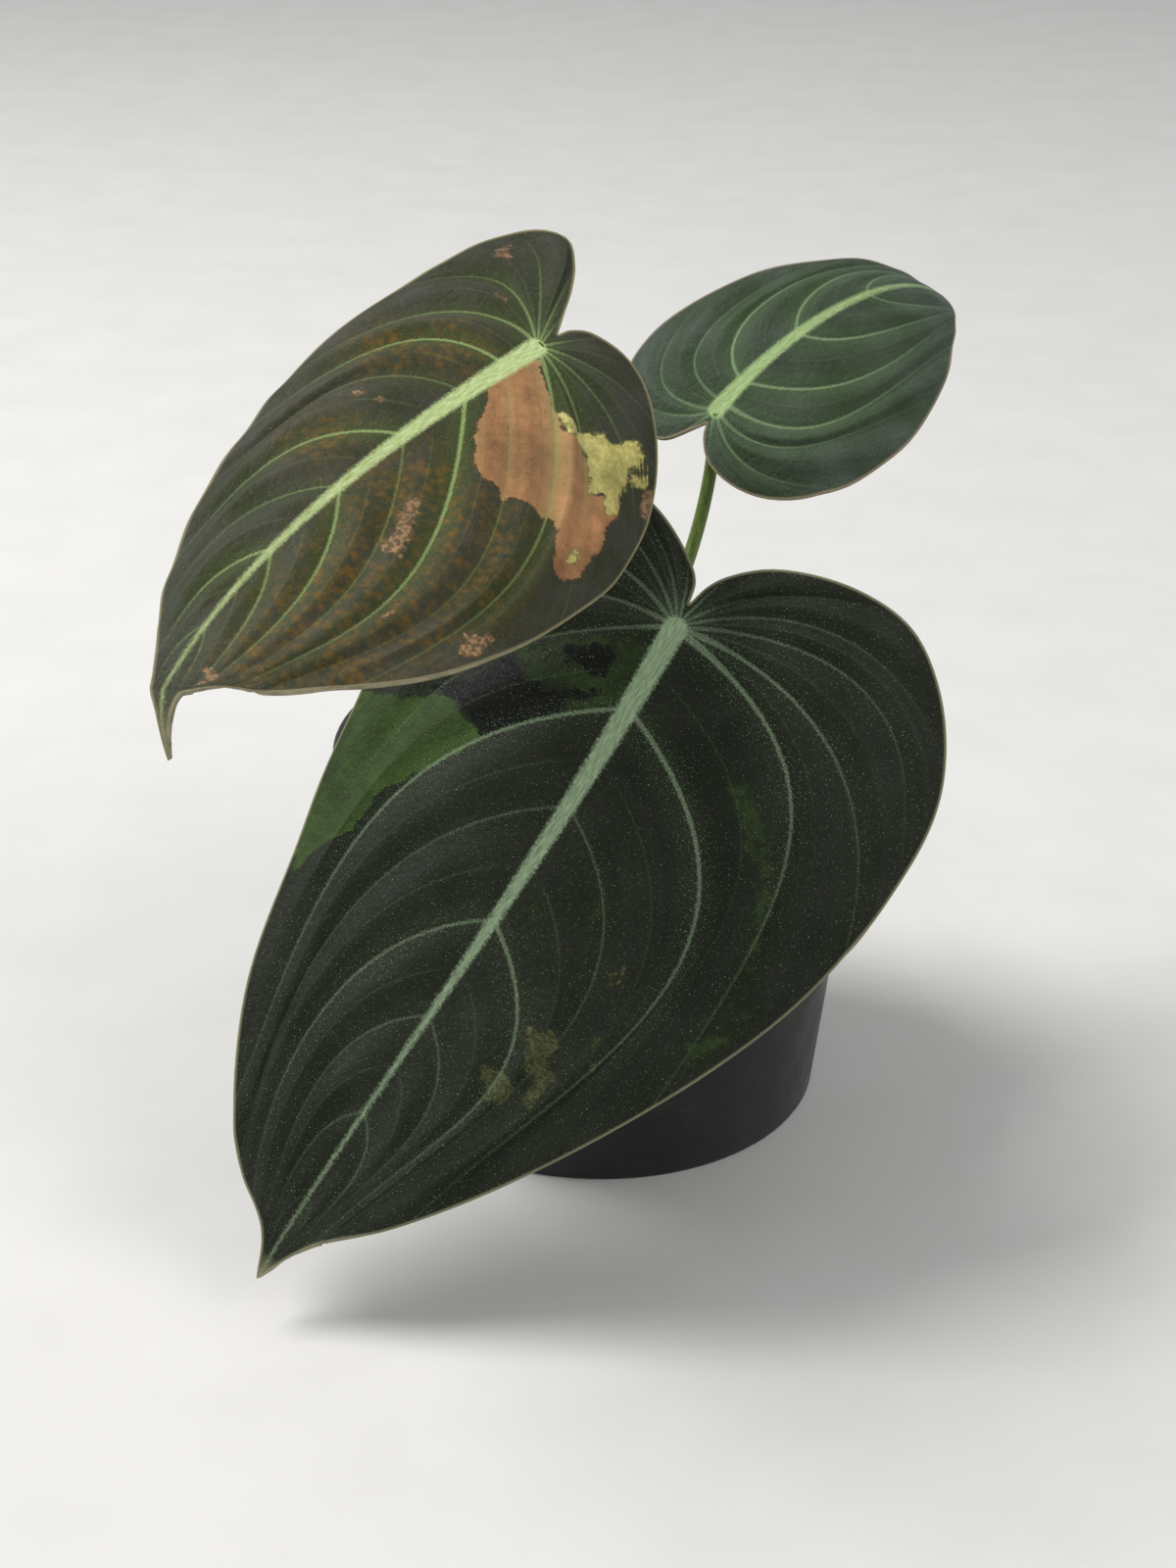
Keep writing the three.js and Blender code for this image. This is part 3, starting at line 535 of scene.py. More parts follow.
def make_half(name, leaf, which, phases, s):
    """Half a blade: the places of its points, what its finish needs there, and the flat leaf."""
    sign = 1 if which == 0 else -1
    lines = [leaf.rib(which, phase, s) for phase in phases]
    flat = np.array([line for line, _ in lines])
    span = np.array([reach for _, reach in lines])[:, None]
    # where the leaf is narrow, its relief is lower
    grown = np.minimum(1, span / 30)
    spots = flat.reshape(-1, 2)
    gap, strength, glow, groove = veins_at(leaf, which, spots)
    ripple = leaf.data["wave"] * s ** 3 * grown * sign * rippling(leaf, which, phases)
    relief = quilting(leaf, flat, phases, s, grown) + ripple
    relief = relief - GROOVE_DEPTH * groove.reshape(flat.shape[:2]) * grown
    # level along the midline, where the two halves meet
    height = relief * smooth(0, 2.5, flat[..., 0]) + BLADE_THICKNESS / 2
    places = leaf.point(which, flat[..., 0], flat[..., 1], height)
    rim, _ = distance_to(through(leaf.data["margins"][which], 12), spots)
    values = {"vein": gap, "vein_strength": strength, "vein_glow": glow,
              "midrib": from_midrib(leaf.data, spots), "margin": rim,
              "phase": sign * phases[:, None] + 0 * flat[..., 0], "share": s + 0 * flat[..., 0],
              **patches_at(name, spots * [sign, 1]), "thick": thickness(leaf, flat)}
    values = {key: value.reshape(flat.shape[:2]) for key, value in values.items()}
    return places, values, flat * [sign, 1]


def make_blade(name, data):
    """The blade's upper face as one mesh of rib lines, with what its finish needs at each point."""
    # rows lie closer at the ribs, and columns closer at the midrib and margin
    leaf = Leaf(data)
    steps = np.arange((len(data["ribs"][0]) - 1) * data["rows"] + 1) / data["rows"]
    phases = steps - 0.6 * np.sin(2 * np.pi * (steps - np.floor(steps))) / (2 * np.pi)
    columns = np.linspace(0, 1, data["columns"] + 1)
    s = columns - 0.5 * np.sin(2 * np.pi * columns) / (2 * np.pi)
    places, values, flat = make_half(name, leaf, 0, phases, s)
    places_b, values_b, flat_b = make_half(name, leaf, 1, phases, s)
    return woven(name, side_by_side(places, places_b),
                 {key: side_by_side(values[key], values_b[key]) for key in values},
                 side_by_side(flat, flat_b))


# Finishes

def colour(code):
    """sRGB hex as linear colour."""
    parts = [int(code[i:i + 2], 16) / 255 for i in (1, 3, 5)]
    return tuple(c / 12.92 if c <= 0.04045 else ((c + 0.055) / 1.055) ** 2.4 for c in parts) + (1,)


def add(tree, kind, links=None, out=0, **settings):
    """A node with its settings, and a value or another node's output for each of its inputs."""
    node = tree.nodes.new("ShaderNode" + kind)
    for key, value in settings.items():
        setattr(node, key, value)
    for key, value in (links or {}).items():
        if isinstance(value, bpy.types.NodeSocket):
            tree.links.new(value, node.inputs[key])
        else:
            node.inputs[key].default_value = value
    return node.outputs[out]


def new_finish(name, **constants):
    """A material with one Principled shader; constants are set on the shader's own sockets."""
    material = bpy.data.materials.new(name)
    material.use_nodes = True
    tree = material.node_tree
    shader = tree.nodes["Principled BSDF"]
    for key, value in constants.items():
        shader.inputs[key.replace("_", " ")].default_value = value
    return material, tree, shader


def leaf_finish(name, tones, under=False):
    """Velvet leaf, grown of tiny cone-shaped cells: it scatters light, so it looks dark and soft,
    with a grey nap at its edges, pale sunk veins and dust held in short hairs. Patches without green
    are thin, papery and matt."""
    # scales are to one millimetre: clouds 11 mm, blotches 2.2, pits 0.8, grain 0.45 and specks 0.22,
    # which stand for hairs of 0.05 mm, drawn coarse enough to show
    material, tree, shader = new_finish(
        name, IOR=1.4, Specular_IOR_Level=0.2, Sheen_Weight=0.1 if under else tones["nap"],
        Sheen_Roughness=0.45, Sheen_Tint=colour(tones["nap_tint"]))
    flat = add(tree, "UVMap", uv_map="leaf")
    value = {key: add(tree, "Attribute", attribute_name=key, out=2)
             for key in ("vein", "vein_strength", "vein_glow", "midrib", "margin", "broad_patch",
                         "inner_patch", "small_patch", "hazy_patch", "freckled", "phase", "share")}
    cloud = add(tree, "TexNoise", {"Vector": flat, "Scale": 0.09, "Detail": 3.0})
    blotch = add(tree, "TexNoise", {"Vector": flat, "Scale": 0.45, "Detail": 5.0, "Roughness": 0.65})
    grain = add(tree, "TexNoise", {"Vector": flat, "Scale": 2.2, "Detail": 3.0, "Roughness": 0.6})
    speck = add(tree, "TexNoise", {"Vector": flat, "Scale": 4.5, "Detail": 2.0})
    # streaks that run out along the ribs, eight between two ribs
    ray = add(tree, "CombineXYZ", {0: value["phase"], 1: value["share"]})
    ray = add(tree, "Mapping", {"Vector": ray, "Scale": (8.0, 2.5, 1.0)})
    ray = add(tree, "TexNoise", {"Vector": ray, "Scale": 1.0, "Detail": 4.0, "Roughness": 0.6})
    ray = add(tree, "MapRange", {0: ray, 1: 0.3, 2: 0.7, 3: 0.82, 4: 1.18})
    # lamina: two greens in soft clouds; on the left and small leaves the paler, greyer one is painted sheen
    # of the velvet, laid in random clouds over the leaf's own green
    k = add(tree, "MapRange", {0: cloud, 1: 0.35, 2: 0.65})
    tone = add(tree, "Mix", {0: k, 6: colour(tones["lamina"]), 7: colour(tones["cloud"])}, 2,
               data_type="RGBA")
    k = add(tree, "MapRange", {0: grain, 1: 0.3, 2: 0.75, 3: 0.78, 4: 1.25})
    k = add(tree, "Math", {0: k, 1: ray}, operation="MULTIPLY")
    tone = add(tree, "Mix", {0: 1.0, 6: tone, 7: k}, 2, data_type="RGBA", blend_type="MULTIPLY")
    # soft glow of green beside the veins
    k = add(tree, "Math", {0: value["vein_glow"], 1: tones["glow"]}, operation="MULTIPLY")
    tone = add(tree, "Mix", {0: k, 6: tone, 7: colour(tones["glow_colour"])}, 2, data_type="RGBA")
    pit = add(tree, "TexNoise", {"Vector": flat, "Scale": 1.3, "Detail": 2.0})
    for key, code, vein_code, depth, ragged, most, holes in tones["patches"]:
        # a patch with a dark border and torn edges: its depth is worn by two sizes of noise
        edge = add(tree, "Math", {0: blotch, 1: 0.5}, operation="SUBTRACT")
        edge = add(tree, "Math", {0: edge, 1: ragged, 2: value[key]}, operation="MULTIPLY_ADD")
        edge = add(tree, "Math", {0: grain, 1: ragged * 0.3, 2: edge}, operation="MULTIPLY_ADD")
        start = ragged * 0.15
        k = add(tree, "MapRange", {0: edge, 1: start - depth, 2: start, 3: 0.0, 4: most * 0.8})
        border = tuple(c * 0.35 for c in colour(code)[:3]) + (1,)
        tone = add(tree, "Mix", {0: k, 6: tone, 7: border}, 2, data_type="RGBA")
        k = add(tree, "MapRange", {0: edge, 1: start, 2: start + depth, 3: 0.0, 4: most},
                interpolation_type="SMOOTHSTEP")
        dull = add(tree, "MapRange", {0: blotch, 1: 0.3, 2: 0.7, 3: 0.72, 4: 1.2})
        dull = add(tree, "Math", {0: dull, 1: ray}, operation="MULTIPLY")
        shade = add(tree, "MapRange", {0: cloud, 1: 0.36, 2: 0.6, 3: 0.62, 4: 1.12})
        dull = add(tree, "Math", {0: dull, 1: shade}, operation="MULTIPLY")
        speckled = add(tree, "MapRange", {0: pit, 1: 0.66, 2: 0.72, 3: 1.0, 4: 0.5})
        dull = add(tree, "Math", {0: dull, 1: speckled}, operation="MULTIPLY")
        torn = add(tree, "MapRange", {0: pit, 1: 0.46, 2: 0.54, 3: 1 - holes, 4: 1.0})
        k = add(tree, "Math", {0: k, 1: torn}, operation="MULTIPLY")
        wash = add(tree, "Mix", {0: 1.0, 6: colour(code), 7: dull}, 2, data_type="RGBA",
                   blend_type="MULTIPLY")
        pale = add(tree, "Math", {0: value["vein_glow"], 1: 0.55}, operation="MULTIPLY")
        wash = add(tree, "Mix", {0: pale, 6: wash, 7: colour(vein_code)}, 2, data_type="RGBA")
        tone = add(tree, "Mix", {0: k, 6: tone, 7: wash}, 2, data_type="RGBA")
    if tones.get("freckle"):
        # brown net between the veins, its cells about 1.4 mm
        cells = add(tree, "TexVoronoi", {"Vector": flat, "Scale": 0.75})
        net = add(tree, "MapRange", {0: cells, 1: 0.15, 2: 0.7, 3: 1.0, 4: 0.12})
        k = add(tree, "MapRange", {0: blotch, 1: 0.33, 2: 0.58})
        k = add(tree, "Math", {0: k, 1: net}, operation="MULTIPLY")
        k = add(tree, "Math", {0: k, 1: value["freckled"]}, operation="MULTIPLY")
        k = add(tree, "Math", {0: k, 1: 0.85}, operation="MULTIPLY")
        tone = add(tree, "Mix", {0: k, 6: tone, 7: colour(tones["freckle"])}, 2, data_type="RGBA")
    # veins, their sides roughened by the grain
    fuzz = tones["fuzz"]
    edge = add(tree, "Math", {0: grain, 1: fuzz, 2: value["vein"]}, operation="MULTIPLY_ADD")
    k = add(tree, "MapRange", {0: edge, 1: fuzz / 2 - 0.14, 2: fuzz / 2 + 0.2, 3: 1.0, 4: 0.0},
            interpolation_type="SMOOTHSTEP")
    k = add(tree, "Math", {0: k, 1: value["vein_strength"]}, operation="MULTIPLY")
    hairy = add(tree, "MapRange", {0: speck, 1: 0.38, 2: 0.6, 3: 1 - tones["fuzz"] * 0.8, 4: 1.0})
    k = add(tree, "Math", {0: k, 1: hairy}, operation="MULTIPLY")
    tone = add(tree, "Mix", {0: k, 6: tone, 7: colour(tones["vein"])}, 2, data_type="RGBA")
    # midrib, pale with a ragged edge
    edge = add(tree, "Math", {0: grain, 1: fuzz * 2, 2: value["midrib"]}, operation="MULTIPLY_ADD")
    k = add(tree, "MapRange", {0: edge, 1: fuzz - 0.4, 2: fuzz + 0.45, 3: 1.0, 4: 0.0},
            interpolation_type="SMOOTHSTEP")
    split = add(tree, "SeparateXYZ", {0: flat}, 1)
    fade = add(tree, "MapRange", {0: split, 1: 0.0, 2: tones["tip"][1], 3: 1.0, 4: 0.45})
    k = add(tree, "Math", {0: k, 1: fade}, operation="MULTIPLY")
    streak = add(tree, "Mapping", {"Vector": flat, "Scale": (3.0, 0.5, 1.0)})
    streak = add(tree, "TexNoise", {"Vector": streak, "Scale": 1.0, "Detail": 3.0})
    streak = add(tree, "MapRange", {0: streak, 1: 0.3, 2: 0.7})
    bright = add(tree, "Mix", {0: streak, 6: colour(tones["midrib"]), 7: colour(tones["midrib_light"])},
                 2, data_type="RGBA")
    tone = add(tree, "Mix", {0: k, 6: tone, 7: bright}, 2, data_type="RGBA")
    # dry brown tip and thin margin line
    k = add(tree, "MapRange", {0: split, 1: tones["tip"][0], 2: tones["tip"][1]})
    line = add(tree, "MapRange", {0: value["margin"], 1: 0.12, 2: 0.5, 3: 0.8, 4: 0.0})
    k = add(tree, "Math", {0: k, 1: line}, operation="MAXIMUM")
    tone = add(tree, "Mix", {0: k, 6: tone, 7: colour(tones["edge"])}, 2, data_type="RGBA")
    # dust and short pale hairs, thicker along the veins
    k = add(tree, "MapRange", {0: value["vein_glow"], 3: 0.665, 4: 0.585})
    k = add(tree, "MapRange", {0: speck, 1: k, 2: 0.75})
    k = add(tree, "Math", {0: k, 1: tones["dust"]}, operation="MULTIPLY")
    tone = add(tree, "Mix", {0: k, 6: tone, 7: colour("#aab3a2")}, 2, data_type="RGBA")
    if under:
        tone = add(tree, "Mix", {0: 0.55, 6: tone, 7: colour(tones["under"])}, 2, data_type="RGBA")
    tree.links.new(tone, shader.inputs["Base Color"])
    # grain of the velvet, and a net of fine veins 1.8 mm apart between the ribs
    cells = add(tree, "TexVoronoi", {"Vector": flat, "Scale": 0.55}, feature="DISTANCE_TO_EDGE")
    net = add(tree, "MapRange", {0: cells, 1: 0.0, 2: 0.25, 3: -0.5, 4: 0.0})
    height = add(tree, "Math", {0: speck, 1: 0.5, 2: net}, operation="MULTIPLY_ADD")
    height = add(tree, "Math", {0: grain, 1: 0.6, 2: height}, operation="MULTIPLY_ADD")
    bump = add(tree, "Bump", {"Height": height, "Strength": 0.5, "Distance": 0.00022})
    tree.links.new(bump, shader.inputs["Normal"])
    rough = add(tree, "MapRange", {0: grain, 1: 0.3, 2: 0.7, 3: 0.5, 4: 0.72})
    tree.links.new(rough, shader.inputs["Roughness"])
    return material


def stalk_finish(name, tones):
    """Living green stalk with a thin wax: a dull, broken shine, and short dark and pale flecks along
    it on cloudy green."""
    material, tree, shader = new_finish(name, IOR=1.42, Specular_IOR_Level=0.4)
    place = add(tree, "TexCoord", out=3)
    # flecks 0.6 mm wide and 3 mm long, drawn coarse enough to show
    long = add(tree, "Mapping", {"Vector": place, "Scale": (1600.0, 1600.0, 330.0)})
    fleck = add(tree, "TexNoise", {"Vector": long, "Scale": 1.0, "Detail": 3.0})
    cloud = add(tree, "TexNoise", {"Vector": place, "Scale": 130.0, "Detail": 3.0})
    k = add(tree, "MapRange", {0: cloud, 1: 0.35, 2: 0.65})
    tone = add(tree, "Mix", {0: k, 6: colour(tones[0]), 7: colour(tones[1])}, 2, data_type="RGBA")
    k = add(tree, "MapRange", {0: fleck, 1: 0.56, 2: 0.7, 3: 0.0, 4: 0.8})
    tone = add(tree, "Mix", {0: k, 6: tone, 7: colour(tones[2])}, 2, data_type="RGBA")
    k = add(tree, "MapRange", {0: fleck, 1: 0.42, 2: 0.3, 3: 0.0, 4: 0.7})
    tone = add(tree, "Mix", {0: k, 6: tone, 7: colour(tones[3])}, 2, data_type="RGBA")
    tree.links.new(tone, shader.inputs["Base Color"])
    rough = add(tree, "MapRange", {0: fleck, 1: 0.3, 2: 0.7, 3: 0.38, 4: 0.62})
    tree.links.new(rough, shader.inputs["Roughness"])
    bump = add(tree, "Bump", {"Height": fleck, "Strength": 0.6, "Distance": 0.00025})
    tree.links.new(bump, shader.inputs["Normal"])
    return material


def pot_finish():
    """Black polypropylene, injection moulded: satin, with a faint orange peel, rubbed in rings by other
    pots and dull with dried potting dust."""
    material, tree, shader = new_finish("moulded_black_polypropylene", IOR=1.49)
    place = add(tree, "TexCoord", out=3)
    # dust in patches of 17 mm, peel of 0.7 mm, rubbed lines 8 mm long and 0.7 mm wide
    dust = add(tree, "TexNoise", {"Vector": place, "Scale": 60.0, "Detail": 6.0, "Roughness": 0.7})
    fine = add(tree, "TexNoise", {"Vector": place, "Scale": 1400.0, "Detail": 2.0})
    long = add(tree, "Mapping", {"Vector": place, "Scale": (120.0, 120.0, 1500.0)})
    scuff = add(tree, "TexNoise", {"Vector": long, "Scale": 1.0, "Detail": 4.0})
    k = add(tree, "MapRange", {0: dust, 1: 0.52, 2: 0.75, 3: 0.0, 4: 0.35})
    tone = add(tree, "Mix", {0: k, 6: colour("#101113"), 7: colour("#4d473f")}, 2, data_type="RGBA")
    k = add(tree, "MapRange", {0: scuff, 1: 0.62, 2: 0.74, 3: 0.0, 4: 0.4})
    tone = add(tree, "Mix", {0: k, 6: tone, 7: colour("#3a3a3a")}, 2, data_type="RGBA")
    tree.links.new(tone, shader.inputs["Base Color"])
    rough = add(tree, "MapRange", {0: dust, 1: 0.35, 2: 0.7, 3: 0.3, 4: 0.6})
    tree.links.new(rough, shader.inputs["Roughness"])
    bump = add(tree, "Bump", {"Height": fine, "Strength": 0.25, "Distance": 0.0001})
    tree.links.new(bump, shader.inputs["Normal"])
    return material


def bark_finish(name, dark, mid, light):
    """Composted pine bark, torn and damp: matt, fibrous, each chip of a brown of its own, with paler
    fibres where it split."""
    material, tree, shader = new_finish(name, IOR=1.35, Specular_IOR_Level=0.25)
    place = add(tree, "TexCoord", out=3)
    tint = add(tree, "Attribute", attribute_name="tint", out=2)
    turn = add(tree, "Attribute", attribute_name="turn", out=2)
    spin = add(tree, "VectorRotate", {"Vector": place, "Angle": turn}, rotation_type="Z_AXIS")
    # fibres 0.35 mm wide and 4 mm long, drawn coarse enough to show
    long = add(tree, "Mapping", {"Vector": spin, "Scale": (250.0, 2800.0, 1600.0)})
    fibre = add(tree, "TexNoise", {"Vector": long, "Scale": 1.0, "Detail": 4.0, "Roughness": 0.65})
    cloud = add(tree, "TexNoise", {"Vector": place, "Scale": 420.0, "Detail": 5.0, "Roughness": 0.65})
    k = add(tree, "Math", {0: cloud, 1: 0.7, 2: tint}, operation="MULTIPLY_ADD")
    k = add(tree, "MapRange", {0: k, 1: 0.35, 2: 1.25})
    tone = add(tree, "Mix", {0: k, 6: colour(dark), 7: colour(mid)}, 2, data_type="RGBA")
    k = add(tree, "MapRange", {0: fibre, 1: 0.5, 2: 0.75, 3: 0.0, 4: 0.6})
    tone = add(tree, "Mix", {0: k, 6: tone, 7: colour(light)}, 2, data_type="RGBA")
    tree.links.new(tone, shader.inputs["Base Color"])
    rough = add(tree, "MapRange", {0: cloud, 1: 0.3, 2: 0.7, 3: 0.6, 4: 0.95})
    tree.links.new(rough, shader.inputs["Roughness"])
    height = add(tree, "Math", {0: cloud, 1: 1.2, 2: fibre}, operation="MULTIPLY_ADD")
    bump = add(tree, "Bump", {"Height": height, "Strength": 0.8, "Distance": 0.0006})
    tree.links.new(bump, shader.inputs["Normal"])
    return material


# The pot

def pot_inside(z):
    """The radius of the pot's inner wall at a height, mm."""
    return POT_BASE + (POT_RIM - 1.8 - POT_BASE) / (POT_HEIGHT - POT_BAND) * z - POT_WALL


def spun(name, profile, sides=96):
    """A round body turned from [radius, height] in mm, closed on the axis."""
    bm = bmesh.new()
    verts = [bm.verts.new((r * MM, 0, z * MM)) for r, z in profile]
    edges = [bm.edges.new(pair) for pair in zip(verts, verts[1:])]
    bmesh.ops.spin(bm, geom=verts + edges, axis=(0, 0, 1), cent=(0, 0, 0), steps=sides,
                   angle=2 * math.pi, use_merge=True)
    bmesh.ops.remove_doubles(bm, verts=bm.verts, dist=1e-6)
    bmesh.ops.recalc_face_normals(bm, faces=bm.faces)
    for face in bm.faces:
        face.smooth = True
    mesh = bpy.data.meshes.new(name)
    bm.to_mesh(mesh)
    bm.free()
    return mesh


def make_pot(material):
    """The pot turned from its section, with its drainage holes drilled through the floor."""
    band = POT_HEIGHT - POT_BAND
    top = pot_inside(band) + POT_WALL
    mesh = spun("pot", [
        (0, 0), (20, 0), (POT_BASE - 1.2, 0), (POT_BASE - 0.4, 0.15), (POT_BASE, 0.8),
        (POT_BASE + (top - POT_BASE) * 0.5, band * 0.5), (top, band - 0.3), (top + 0.4, band + 0.1),
        (POT_RIM - 0.9, band + 0.35), (POT_RIM - 0.5, band + 0.8), (POT_RIM - 0.1, POT_HEIGHT - 1.3),
        (POT_RIM, POT_HEIGHT - 0.7), (POT_RIM - 0.25, POT_HEIGHT - 0.2), (POT_RIM - 0.7, POT_HEIGHT),
        (POT_RIM - 1.3, POT_HEIGHT - 0.15), (POT_RIM - 1.6, POT_HEIGHT - 0.6),
        (pot_inside(band) + 0.2, band - 0.4), (pot_inside(band), band - 1.2),
        (pot_inside(POT_FLOOR + 1), POT_FLOOR + 1), (pot_inside(POT_FLOOR) - 0.8, POT_FLOOR + 0.1),
        (pot_inside(POT_FLOOR) - 1.2, POT_FLOOR), (0, POT_FLOOR)])
    pot = placed("black_pot", mesh, [material], "pot")
    drills = bmesh.new()
    for i in range(DRAIN_HOLES):
        angle = 2 * math.pi / DRAIN_HOLES * i
        spot = Vector((DRAIN_RING * math.cos(angle), DRAIN_RING * math.sin(angle), 1))
        bmesh.ops.create_cone(drills, cap_ends=True, segments=32, radius1=DRAIN_RADIUS * MM,
                              radius2=DRAIN_RADIUS * MM, depth=6 * MM, matrix=Matrix.Translation(spot * MM))
    cutter = bpy.data.objects.new("drain_drill", bpy.data.meshes.new("drain_drill"))
    drills.to_mesh(cutter.data)
    drills.free()
    bpy.context.scene.collection.objects.link(cutter)
    cut = pot.modifiers.new("drain", "BOOLEAN")
    cut.object, cut.operation, cut.solver = cutter, "DIFFERENCE", "EXACT"
    bpy.context.view_layer.update()
    shaped = bpy.data.meshes.new_from_object(pot.evaluated_get(bpy.context.evaluated_depsgraph_get()))
    pot.modifiers.clear()
    pot.data = shaped
    bpy.data.objects.remove(cutter)
    # the holes keep sharp rims on a smooth pot
    for edge in pot.data.edges:
        edge.use_edge_sharp = False
    bm = bmesh.new()
    bm.from_mesh(pot.data)
    bmesh.ops.dissolve_degenerate(bm, edges=bm.edges, dist=1e-6)
    for edge in bm.edges:
        if len(edge.link_faces) == 2 and edge.calc_face_angle() > math.radians(40):
            edge.smooth = False
    bm.to_mesh(pot.data)
    bm.free()


# The bark mix

def chip_mesh(place, turn, size, tilt, tint):
    """One torn bark chip: a cube rounded off, roughened and flattened."""
    bm = bmesh.new()
    tint_layer = bm.verts.layers.float.new("tint")
    turn_layer = bm.verts.layers.float.new("turn")
    bmesh.ops.create_cube(bm, size=2)
    bmesh.ops.subdivide_edges(bm, edges=bm.edges, cuts=1, use_grid_fill=True)
    move = (Matrix.Translation(Vector(place) * MM) @ Matrix.Rotation(turn, 4, "Z")
            @ Matrix.Rotation(tilt[0], 4, "Y") @ Matrix.Rotation(tilt[1], 4, "X"))
    for v in bm.verts:
        v.co *= 1 - 0.13 * (abs(v.co.x) > 0.5) * (abs(v.co.y) > 0.5) - 0.1 * random.random()
        v.co += Vector((random.uniform(-0.16, 0.16), random.uniform(-0.16, 0.16),
                        random.uniform(-0.22, 0.22)))
        v.co = move @ Vector((v.co.x * size[0] * MM, v.co.y * size[1] * MM, v.co.z * size[2] * MM))
        v[tint_layer], v[turn_layer] = tint, -turn
    mesh = bpy.data.meshes.new("chip")
    bm.to_mesh(mesh)
    bm.free()
    return mesh


def make_bark(base_material, chip_material):
    """Filling with a crumbly top, and loose chips lying over one another on it."""
    rows = []
    side = pot_inside(SOIL_LEVEL) - 0.35
    angle = np.linspace(0, 2 * np.pi, 121)
    foot = POT_FLOOR + 0.35
    for r in np.linspace(0, 1, 5):
        rows.append((pot_inside(foot) - 1.6) * r + 0j * angle + 1j * foot)
    rows.append(pot_inside(foot + 1.3) - 0.35 + 0j * angle + 1j * (foot + 1.3))
    rows.append(side + 0j * angle + 1j * (SOIL_LEVEL - 2))
    waves = [(random.uniform(0.3, 1.6), random.uniform(0, 6.3), random.uniform(0, 6.3)) for _ in range(14)]
    for r in np.linspace(side, 3.85, 40):
        x, y = r * np.cos(angle), r * np.sin(angle)
        lump = sum(np.sin(f * (x * math.cos(a) + y * math.sin(a)) + b) for f, a, b in waves) / 14
        rows.append(r + 0 * angle + 1j * (SOIL_LEVEL - 0.9 + 1.5 * lump))
    rows.append(3.85 + 0 * angle + 1j * 33.7)
    rows.append(0 * angle + 1j * 33.7)
    grid = np.array([np.stack([row.real * np.cos(angle), row.real * np.sin(angle), row.imag], -1)
                     for row in rows])
    ground = woven("bark_ground", grid)
    outward(ground)
    chips = []
    state = [11]

    def pick(low=0.0, high=1.0):
        """The next of the part's own draws, so that the large chips lie where its flakes do."""
        state[0] = (state[0] * 1664525 + 1013904223) % 4294967296
        return low + (high - low) * state[0] / 4294967296

    for _ in range(CHIPS):
        reach = 40 * math.sqrt(pick())
        bearing = 2 * math.pi * pick()
        turn = math.pi * pick()
        size = [pick(3.5, 7.5), pick(2.2, 4.5)]
        lift, lean, roll = pick(-0.6, 2.2), pick(-0.28, 0.28), pick(-0.35, 0.35)
        place = (reach * math.cos(bearing), reach * math.sin(bearing), SOIL_LEVEL + lift - 0.9)
        chips.append(chip_mesh(place, turn, size + [random.uniform(0.7, 1.2)], (-lean, roll),
                               random.random()))
    for _ in range(CRUMBS):
        reach, bearing = 40 * math.sqrt(random.random()), 2 * math.pi * random.random()
        size = [0.5 + 2.6 * random.random() ** 3, random.uniform(0.4, 1.3), random.uniform(0.4, 0.8)]
        place = (reach * math.cos(bearing), reach * math.sin(bearing),
                 SOIL_LEVEL + random.uniform(-0.4, 1.6))
        chips.append(chip_mesh(place, random.uniform(0, math.pi), size,
                               (random.uniform(-0.5, 0.5), random.uniform(-0.5, 0.5)),
                               random.random()))
    bm = bmesh.new()
    for chip in chips:
        bm.from_mesh(chip)
        bpy.data.meshes.remove(chip)
    # none reach into the pot's wall, the stem or above 53.5 mm
    for v in bm.verts:
        far = math.hypot(v.co.x, v.co.y) / MM
        keep = min(max(far, 4.0), side - 0.1) / max(far, 0.01)
        v.co.x *= keep
        v.co.y *= keep
        v.co.z = min(v.co.z, 0.0535)
    bmesh.ops.recalc_face_normals(bm, faces=bm.faces)
    for face in bm.faces:
        face.material_index = 1
    loose = bpy.data.meshes.new("bark_chips")
    bm.to_mesh(loose)
    bm.free()
    placed("bark_mix_chips", joined("bark_mix_chips", [ground, loose]), [base_material, chip_material],
           "bark_mix")


# The plant

# A stalk's two greens, its pale fleck and its dark one; SHADED_STALK is the bright set darkened, painted
# shade for the left leaf's petiole
BRIGHT_STALK = ("#5f7335", "#6f8440", "#8f9c5c", "#3c4722")
SHADED_STALK = ("#4c5a2a", "#5b6c33", "#7a8450", "#323a1c")
OLD_STALK = ("#4a4f2a", "#5d6233", "#8a7b52", "#37301f")
